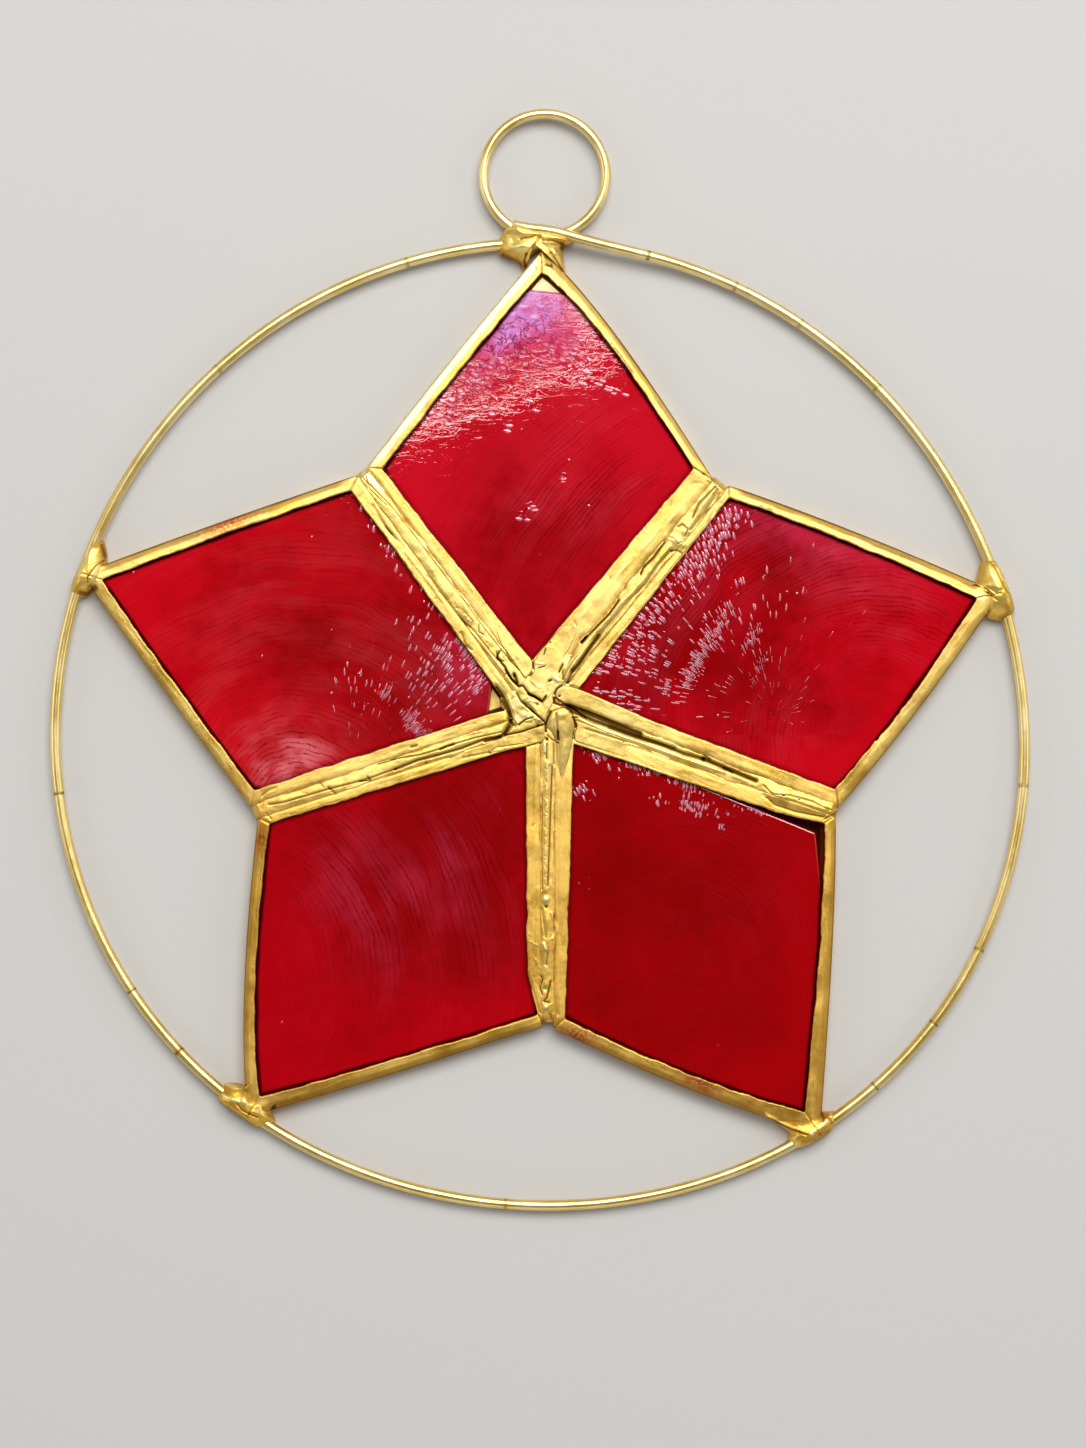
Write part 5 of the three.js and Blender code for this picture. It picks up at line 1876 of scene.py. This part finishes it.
def points_of_star(run: dict[str, Seam]) -> list[Point]:
    """Lists the five points of the star.

    Args:
        run: the seams by name.

    Returns:
        The points, clockwise from the top.
    """
    deep, glow = (0.225, 0.0, 0.0), (0.55, 0.001, 0.007)
    return [
        Point(
            "top", run["upper_left"], run["upper_right"],
            ((366, 468.2), (541.3, 250.8), (714.3, 481)),
            ((531.5, 660.5), (382.7, 469.3), (541.7, 272.9), (693.3, 468.3)),
            ((0.5, 0.52), (0.25, 2.1)),
            Lacquer(
                "dyed_shell_top", (0.27, 0.0, 0.001), (0.56, 0.003, 0.013), (30.0, 2.0), 2.0, 0.25, 0.05,
                (0.60, 0.06, 0.10), (52.0, 24.0), 120.0,
            ),
            glow=patches((560, 400, 10, 12, 0, 0.35), (415, 480, 5, 6, 0, 0.35), (640, 430, 6, 6, 0, 0.3)),
            glints=patches(
                (475, 375, 4.5, 1.6, 40, 0.75), (505, 415, 3.0, 1.5, 20, 0.3), (552, 353, 4, 1.2, 0, 0.55),
                (592, 378, 3.5, 1.0, -35, 0.35), (442, 418, 1.5, 0.6, 0, 0.5), (425, 455, 1.0, 0.5, 0, 0.6),
                (534, 507, 0.6, 0.35, 0, 0.7), (525, 518, 0.7, 0.5, 0, 0.4), (562, 477, 0.4, 0.3, 0, 0.6),
            ),
            crinkles=patches(
                (520, 325, 5.5, 3, 20, 0.85), (485, 355, 5, 1.8, 45, 0.6), (545, 350, 5, 2.2, 0, 0.75),
                (505, 382, 4.0, 1.8, 25, 0.8), (455, 402, 3.2, 1.6, 48, 0.35),
            ),
            sheens=patches(
                (528, 305, 5.0, 3.6, 25, 0.95), (500, 338, 5, 2.2, 48, 0.75), (565, 330, 4, 4, 0, 0.4),
            ),
            dusts=patches((580, 510, 8, 4, 20, 0.9), (520, 515, 4, 2.5, 20, 0.8), (600, 440, 8, 6, 0, 0.5)),
            cuts=(((546, 291.4), (541, 340)),),
            tan=(-0.6, 0.48),
            backing=Backing(((517, 288), (541.7, 259), (573, 293.8)), 1.42, grime=-0.7, tilt=0.11),
        ),
        Point(
            "right", run["upper_right"], run["lower_right"],
            ((728.4, 485), (1000.1, 593.5), (837.8, 808.6)),
            ((576.7, 691.7), (729, 497.7), (976.7, 598.3), (835.7, 790)),
            ((0.5, 0.8), (0.55, 1.1)),
            Lacquer(
                "dyed_shell_right", deep, glow, plan_place(875, 735), 2.0, 0.22, 0.055, (0.58, 0.06, 0.11),
                plan_place(775, 715), 62.0,
            ),
            laps=(Lap(2, 0.72, 0.995, 0.10, 0.22),),
            tan=(0.55, 0.40),
            glow=patches((900, 640, 9, 9, 0, 0.2), (800, 760, 8, 4, -30, 0.35)),
            glints=patches(
                (655, 606, 5.5, 2.0, 50, 1.4), (712, 533, 5.0, 1.5, 58, 1.0), (736, 515, 2.2, 1.2, 45, 0.7),
                (707, 645, 4.6, 0.7, 62, 1.0), (752, 637, 1.6, 0.5, 68, 1.1), (756, 668, 1.2, 0.5, 50, 0.8),
                (741, 580, 0.8, 0.6, 0, 0.8), (608, 672, 3.2, 2.0, 40, 0.24), (622, 697, 4, 1.0, -22, 0.2),
                (670, 684, 1.2, 0.6, 60, 0.8), (715, 610, 8, 10, 50, 0.09), (640, 660, 7, 6, 0, 0.1),
            ),
            sheens=patches((800, 530, 11, 2.5, -22, 0.16)),
            dusts=patches(
                (800, 545, 13, 4, -22, 1.3), (690, 590, 12, 5, 53, 0.8), (900, 620, 9, 4, -20, 0.8),
                (760, 720, 8, 5, 0, 0.5),
            ),
        ),
        Point(
            "lower_right", run["lower_right"], run["lower"],
            ((835.7, 815), (820, 1134), (553.2, 1028.3)),
            ((573.3, 743.3), (824.5, 823), (804.5, 1111.7), (565, 1018.3)),
            ((0.3, 0.75), (0.45, 1.5)),
            Lacquer(
                "dyed_shell_lower_right", (0.21, 0.0, 0.0), (0.36, 0.0, 0.0015), plan_place(668, 965), 2.0,
                0.12, 0.055, (0.45, 0.02, 0.04), plan_place(668, 940), 62.0,
            ),
            stains=patches((576, 1035, 2.2, 1.0, -20, 0.9), (702, 1083, 2.6, 1.0, -22, 0.9)),
            glow=patches((815, 930, 3, 14, 0, 0.5), (700, 830, 12, 5, -20, 0.25)),
            glints=patches(
                (601, 756, 3.0, 0.8, -22, 0.75), (647, 770, 2.2, 0.4, -18, 0.8),
                (688, 786, 2.0, 0.5, -18, 0.8), (697, 807, 3.2, 0.6, -8, 0.8),
                (583, 791, 1.0, 0.6, -20, 0.9), (750, 808, 1.8, 0.4, -20, 0.7),
                (722, 828, 0.4, 0.3, 0, 0.8),
            ),
            dusts=patches((740, 900, 10, 10, 0, 0.5), (700, 800, 10, 3, -20, 0.4)),
            cuts=(((788.4, 821.4), (762.9, 883.4)), ((816, 833), (769, 838))),
            elbow=(775, 812),
            tan=(0.42, 0.45),
            # This leaf is painted near black and red all over: painted shade in the gap past the cut corners.
            backing=Backing(
                pairs(730, 786, 834, 812, 832, 960, 812, 950, 800, 850, 760, 825), 0.6, grime=1.5, dye=1.0
            ),
        ),
        Point(
            "lower_left", run["lower"], run["lower_left"],
            ((543.5, 1025.6), (247.8, 1116.5), (258, 817)),
            ((526, 745), (538, 1014.5), (259.3, 1096.7), (269.3, 823.3)),
            ((0.65, 0.45), (0.35, 1.8)),
            Lacquer(
                "dyed_shell_lower_left", (0.23, 0.0, 0.0), (0.45, 0.0, 0.004), plan_place(200, 985), 1.6,
                0.42, 0.05, (0.46, 0.035, 0.085), plan_place(190, 1000), 60.0,
            ),
            stains=patches((262, 838, 0.7, 2.0, 0, 0.8), (477, 750, 3.0, 0.5, 15, 0.6)),
            elbow=(527, 972),
            tan=(0.5, 0.42),
            glow=patches((480, 1010, 9, 3, 10, 0.3), (300, 880, 4, 8, 0, 0.2)),
            dusts=patches(
                (385, 905, 5.5, 7, 10, 1.0), (472, 865, 4.5, 9, 10, 0.9), (330, 860, 4, 6, 0, 0.4),
            ),
        ),
        Point(
            "left", run["lower_left"], run["upper_left"],
            ((251.2, 807.6), (81.4, 573.3), (358.4, 474.4)),
            ((509.6, 707.3), (254.3, 790), (101.7, 580), (350.7, 490.7)),
            ((0.55, 0.4), (0.4, 0.35)),
            Lacquer(
                "dyed_shell_left", deep, glow, plan_place(298, 808), 1.7, 0.62, 0.055, (0.68, 0.13, 0.15),
                plan_place(350, 790), 64.0,
            ),
            stains=patches((228, 525, 4.0, 0.8, 20, 0.8)),
            glow=patches((150, 590, 8, 8, 0, 0.25), (250, 720, 5, 7, -40, 0.3)),
            glints=patches(
                (466, 656, 2.4, 0.6, -54, 1.3), (475, 682, 0.6, 1.4, 0, 1.1),
                (443, 645, 0.6, 1.0, -30, 1.2), (449, 664, 1.2, 0.4, -58, 1.1),
                (387, 691, 0.9, 0.4, 42, 1.3), (415, 726, 1.5, 0.7, -50, 1.3), (430, 670, 4, 6, 0, 0.22),
                (400, 560, 6, 0.8, -52, 0.5), (360, 690, 3, 3, 0, 0.15),
            ),
            sheens=patches((470, 670, 3.5, 4.5, 0, 0.1)),
            dusts=patches(
                (289, 758, 4.3, 3.0, 10, 2.0), (240, 715, 5, 6, 0, 0.13), (240, 600, 11, 7, 0, 0.05),
                (350, 620, 9, 8, 0, 0.08), (420, 660, 5, 6, 10, 0.13),
            ),
            cuts=(((490.5, 697), (430, 690)),),
            tan=(0.35, 0.5),
            backing=Backing(((480, 665), (520, 700), (505, 725), (478, 728))),
        ),
    ]


def blobs() -> list[Blob]:
    """Lists the solder that holds the tips and the middle.

    Returns:
        The blobs.
    """
    return [
        Blob(
            "tip_solder_top", (534, 244),
            pairs(
                497.8, 241.7, 500.6, 235, 505, 227.8, 512.8, 224.4, 521.7, 227.8, 535, 230.3, 547.2, 231.7,
                560.6, 234.1, 572.8, 238.3, 573.9, 243.3, 567.2, 243.9, 562.8, 247.2, 563.3, 255, 565.6,
                271.7, 561.7, 270.6, 556.1, 262.8, 551.7, 256.1, 547.2, 251.7, 540.6, 249.4, 533.9, 251.7,
                529.4, 257.2, 526.1, 267.2, 521.7, 267.2, 518.3, 260.6, 507.2, 257.2, 499.4, 253.9, 497.4,
                249.4
            ),
            3.0, 0.8,
        ),
        Blob(
            "tip_solder_right", (1001, 588),
            pairs(
                985, 557.5, 992, 557, 997, 561, 1004, 573, 1009, 586, 1014, 599, 1016, 609, 1013, 617.5,
                1007, 621, 998, 620.5, 988, 618, 985, 611, 985, 603, 983, 594, 976, 584, 979, 573, 981, 564
            ),
            2.9, 0.8,
        ),
        Blob(
            "tip_solder_lower_right", (808, 1131),
            pairs(
                836, 1112, 838, 1121, 832, 1132, 825, 1138, 810, 1146, 797, 1150, 792, 1147, 788, 1140, 790,
                1133, 783, 1128, 774, 1122, 768, 1116, 782, 1118, 800, 1118, 815, 1112, 826, 1113
            ),
            2.8, 0.8,
        ),
        Blob(
            "tip_solder_lower_left", (245, 1107),
            pairs(
                218, 1091, 215, 1097, 225, 1108, 240, 1118, 255, 1128, 265, 1128, 275, 1122, 271, 1113, 270,
                1104, 262, 1098, 253, 1095, 247, 1087, 235, 1084, 225, 1084, 221, 1088
            ),
            2.8, 0.8,
        ),
        Blob(
            "tip_solder_left", (88, 572),
            pairs(
                92, 540, 85, 555, 75, 572, 70, 585, 70, 595, 76, 598, 86, 596, 94, 588, 104, 582, 106, 572,
                106, 560, 105, 549, 103, 540
            ),
            2.8, 0.8,
        ),
        Blob(
            "hub_solder", (541, 700),
            pairs(
                503, 712, 499, 699, 507, 690, 516, 680, 522, 668, 530, 662, 540, 664, 552, 652, 566, 648,
                574, 656, 566, 672, 574, 682, 586, 694, 584, 708, 576, 722, 566, 730, 552, 734, 545, 724,
                532, 728, 512, 728
            ),
            2.6, 2.2, 0.2, 3.0, 0.06, (60, 220),
        ),
    ]


def leaves() -> list[Leaf]:
    """Lists the strip ends and flakes of foil that overlap at the hub.

    Returns:
        The leaves.
    """
    return [
        Leaf(
            "right_fold",
            pairs(
                554.4, 692.8, 556.1, 688.9, 560.6, 685.9, 565, 685, 572.8, 687.2, 580.6, 689.4, 596.1,
                696.1, 615, 704.4, 640.6, 715.2, 640.6, 733.3, 615, 722.8, 596.1, 715, 579.4, 708.3, 569.4,
                704.4, 562.8, 702.8, 557.2, 701.1, 554.8, 697.2
            ),
            2.86, 0.18, (640.6, 723.9), 0.5, 0.2,
        ),
        Leaf(
            "top_left_fold",
            pairs(
                491.7, 621.7, 501.7, 623.9, 510, 635, 530.6, 658.3, 533.3, 663.9, 532.6, 670.6, 529.4, 675,
                525.6, 678.9, 522.8, 676.1, 512.8, 661.1, 501.7, 646.1
            ),
            2.76, 0.16, (496.1, 623.9), 0.36, 0.2,
        ),
        Leaf(
            "lower_hook",
            pairs(
                545.6, 721.7, 547.2, 714.4, 551.7, 710, 558.3, 707.2, 565, 706.4, 571.1, 709.4, 574.4,
                716.1, 575.6, 723.9, 574.4, 731.7, 572.8, 741.7, 570, 755, 568.1, 768.3, 567.4, 785, 557.2,
                785, 556.3, 762.8, 556.1, 741.7, 551.7, 732.8, 547.2, 728.3
            ),
            2.98, 0.45, (562.8, 785), 0.5, 0.14, 2.3,
        ),
        Leaf(
            "upper_right_bead",
            pairs(
                562.8, 677.8, 565, 671.7, 573.9, 658.3, 585, 645, 595, 635, 602.8, 625, 608.3, 625, 602.8,
                635, 591.7, 650.6, 580.6, 666.1, 573.9, 676.1, 569.4, 682.2, 565, 682.8
            ),
            2.92, 0.34, (605, 625), 0.52,
        ),
        Leaf(
            "left_facet",
            pairs(
                507.8, 701.7, 511.7, 697.2, 517.2, 692.8, 522.8, 702.8, 535, 714.4, 544.1, 721.9, 533.9,
                719.4, 527.2, 717.8, 518.3, 725.2, 512.2, 717.2
            ),
            2.66, 0.1, (507.8, 707.2), 0.1, -0.22,
        ),
        Leaf(
            "middle_facet",
            pairs(
                523.9, 700.6, 529.4, 697.2, 535, 700.6, 542.2, 703.3, 547.2, 697.2, 553, 690.6, 553.7,
                701.7, 551.7, 706.1, 547.2, 712.8, 545.6, 720.8, 535, 712.8, 527.2, 706.1
            ),
            2.88, 0.14, (523.9, 701.7), 0.15, -0.08,
        ),
        Leaf(
            "lower_left_strip",
            pairs(
                462.8, 750.6, 485, 744.4, 505, 735.6, 521.7, 731.9, 533.9, 727.9, 543.9, 724.4, 544.8,
                732.8, 544.1, 741.1, 527.2, 746.1, 507.2, 750, 490.6, 753.3, 462.8, 758.9
            ),
            2.7, 0.14, (462.8, 753.9), 0.3, 0.02,
        ),
        Leaf(
            "top_right_facet",
            pairs(
                562.8, 626.1, 580.6, 626.1, 569.4, 648.3, 561.7, 660.6, 556.1, 671.7, 550.6, 682.8, 547.2,
                695, 542.2, 700.6, 535, 695.6, 528.3, 683.9, 528.9, 679.4, 533.9, 671.7, 533.3, 662.8,
                540.6, 650.6
            ),
            2.62, 0.12, (573.9, 626.1), 0.22, 0.24,
        ),
        Leaf(
            "lower_head",
            pairs(
                575.6, 720.6, 585, 723.9, 615, 735.6, 629.4, 741.7, 629.4, 758.9, 615, 753.9, 585, 744.4,
                575.2, 741.1, 573.9, 735, 576.3, 727.2
            ),
            2.66, 0.12, (629.4, 749.4), 0.26, 0.22,
        ),
    ]


def draw_marks(chasing: Chasing, run: dict[str, Seam], star: Sequence[Point]) -> None:
    """Lays the maker's marks on the plan: along the seams, at the corners, tips and hub.

    Args:
        chasing: takes the marks.
        run: the seams by name.
        star: the points of the star.
    """
    for seam in run.values():
        chasing.on_plan(*seam.strokes)
    for point in star:
        for outer, window in zip(point.outer, point.window[1:]):
            chasing.on_plan(Stroke((outer, window), 0.09, -0.08, 0.45))
    tips = (*RIGHT_MARKS, *LOWER_RIGHT_MARKS, *LOWER_LEFT_MARKS, *LEFT_MARKS)
    chasing.on_plan(*strokes((*HUB_MARKS, *TOP_MARKS, *HUB_GAP_MARKS, *tips)))


# The stage


@dataclass
class Studio:
    """Floor, light and camera.

    Attributes:
        aim: where the camera looks, in millimetres.
        distance: camera height above the object.
        seen: height of the picture at the object.
        plane: height that it is measured at.
        half_floor: half the side of the floor, in metres.
    """

    aim: Place = (0.392, 0.224)
    distance: float = 400.0
    seen: float = 162.2
    plane: float = 2.0
    half_floor: float = 3.0

    def floor(self) -> None:
        """Lays a plain pale floor just under the ornament."""
        mesh = bpy.data.meshes.new("floor")
        turns = ((-1, -1), (1, -1), (1, 1), (-1, 1))
        corners = [(x * self.half_floor, y * self.half_floor, -0.02 * METRES) for x, y in turns]
        mesh.from_pydata(corners, [], [(0, 1, 2, 3)])
        b = Bench("pale_floor")
        tint = b.noise(b.space((1.0, 1.0, 1.0)), 3.0, 2.0)
        b.put(b.surface.inputs["Base Color"], b.blend(tint, (0.53, 0.515, 0.49), (0.56, 0.545, 0.52)))
        b.surface.inputs["Roughness"].default_value = 0.75
        mesh.materials.append(b.material)
        floor = bpy.data.objects.new("floor", mesh)
        bpy.context.scene.collection.objects.link(floor)

    def light(
        self, name: str, place: Spot, size: Place, power: float, aim: Spot = (0, 0, 0), twist: float = 0.0
    ) -> None:
        """Hangs a softbox that faces a place.

        Args:
            name: its name.
            place: where it hangs, in metres.
            size: its width and height.
            power: in watts.
            aim: the place that it faces.
            twist: how far it is turned about its own axis, in degrees.
        """
        data = bpy.data.lights.new(name, "AREA")
        data.shape = "RECTANGLE"
        data.size, data.size_y = size
        data.energy = power
        lamp = bpy.data.objects.new(name, data)
        lamp.location = place
        facing = (Vector(aim) - Vector(place)).to_track_quat("-Z", "Y")
        lamp.rotation_euler = (facing @ Quaternion((0, 0, 1), math.radians(twist))).to_euler()
        bpy.context.scene.collection.objects.link(lamp)

    def camera(self) -> None:
        """Hangs the camera straight above the ornament, its top towards +Y."""
        data = bpy.data.cameras.new("camera")
        data.sensor_fit = "VERTICAL"
        data.sensor_height = 36.0
        data.lens = 36.0 * self.distance / self.seen
        data.clip_start, data.clip_end = 0.01, 50.0
        eye = bpy.data.objects.new("camera", data)
        eye.location = [v * METRES for v in (*self.aim, self.distance + self.plane)]
        bpy.context.scene.collection.objects.link(eye)
        bpy.context.scene.camera = eye

    def build(self) -> None:
        """Sets up floor, light, world and camera."""
        bpy.context.scene.view_settings.view_transform = "Standard"
        self.floor()
        self.light("window", (0.195, 0.648, 1.0), (0.95, 0.75), 17.0, (0.195, 0.648, 0.0), 25.0)
        self.light("fill_left", (-1.1, 0.1, 0.55), (0.8, 0.5), 2.0)
        self.light("fill_right", (1.1, 0.1, 0.55), (0.8, 0.5), 2.0)
        self.light("fill_low", (0.0, -1.1, 0.5), (1.0, 0.4), 1.2)
        world = bpy.data.worlds.new("room")
        world.use_nodes = True
        tree = world.node_tree
        sky = tree.nodes["Background"]
        way = tree.nodes.new("ShaderNodeTexCoord")
        parts = tree.nodes.new("ShaderNodeSeparateXYZ")
        fade = tree.nodes.new("ShaderNodeMapRange")
        fade.interpolation_type = "SMOOTHSTEP"
        for key, value in {"From Min": 0.82, "From Max": 0.96, "To Min": 0.34, "To Max": 0.015}.items():
            fade.inputs[key].default_value = value
        tree.links.new(way.outputs["Generated"], parts.inputs[0])
        tree.links.new(parts.outputs[2], fade.inputs["Value"])
        tree.links.new(fade.outputs[0], sky.inputs[1])
        sky.inputs[0].default_value = (0.95, 0.97, 1.0, 1.0)
        bpy.context.scene.world = world
        self.camera()


# Putting it together


@dataclass
class Ornament:
    """The whole ornament: builds each piece and ties it to the nodes that it stands for.

    Attributes:
        chasing: the maker's marks on its metal.
    """

    chasing: Chasing = field(default_factory=Chasing)

    def settle(self, piece: bpy.types.Object, slot: str, *nodes: str) -> None:
        """Ties a piece to the body, hides the nodes that it stands for, and logs it.

        Args:
            piece: the finished piece.
            slot: not used.
            nodes: the nodes that it stands for.
        """
        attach(piece, "root")
        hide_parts(*nodes)
        mesh = piece.data
        LOG.info("%s: %d points, %d faces", piece.name, len(mesh.vertices), len(mesh.polygons))

    def build(self) -> None:
        """Builds and dresses every piece."""
        wire, strip, seam_metal, solder = (finish.value.material() for finish in Finish)
        run = seams()
        star = points_of_star(run)
        draw_marks(self.chasing, run, star)
        hoop = Hoop()
        self.settle(make_piece("bent_hoop", [hoop.hoop_skin()], wire), "brass_wire", "hoop")
        self.settle(make_piece("loop_ring", [hoop.ring_skin()], wire), "brass_wire", "hanging_ring")
        for point in star:
            skins = [point.frame_skin(self.chasing), *point.backing_skins()]
            self.settle(make_piece(f"came_{point.name}", skins, strip), "brass_strip", f"frame_{point.name}")
            pane = make_piece(f"shell_{point.name}", [point.pane_skin()], point.shell.material())
            self.settle(pane, "dyed_shell", f"pane_{point.name}")
        for seam in run.values():
            bead = make_piece(f"run_{seam.name}", [seam.skin(self.chasing)], seam_metal)
            self.settle(bead, "gilt_solder", f"seam_bead_{seam.name}")
        for blob in blobs():
            skins, metal = [blob.skin(self.chasing)], solder
            if blob.name == "hub_solder":
                skins, metal = [*skins, *(leaf.skin(self.chasing) for leaf in leaves())], seam_metal
            self.settle(make_piece(f"melt_{blob.name}", skins, metal), "gilt_solder", blob.name)


def plain(box: object) -> list:
    """Turns a box into plain lists of numbers."""
    return [[float(v) for v in corner] for corner in box]


def main() -> None:
    """Builds the ornament and the studio."""
    logging.basicConfig(level=logging.INFO, format="%(name)s %(message)s")
    Ornament().build()
    Studio().build()


if __name__ == "__main__":
    main()
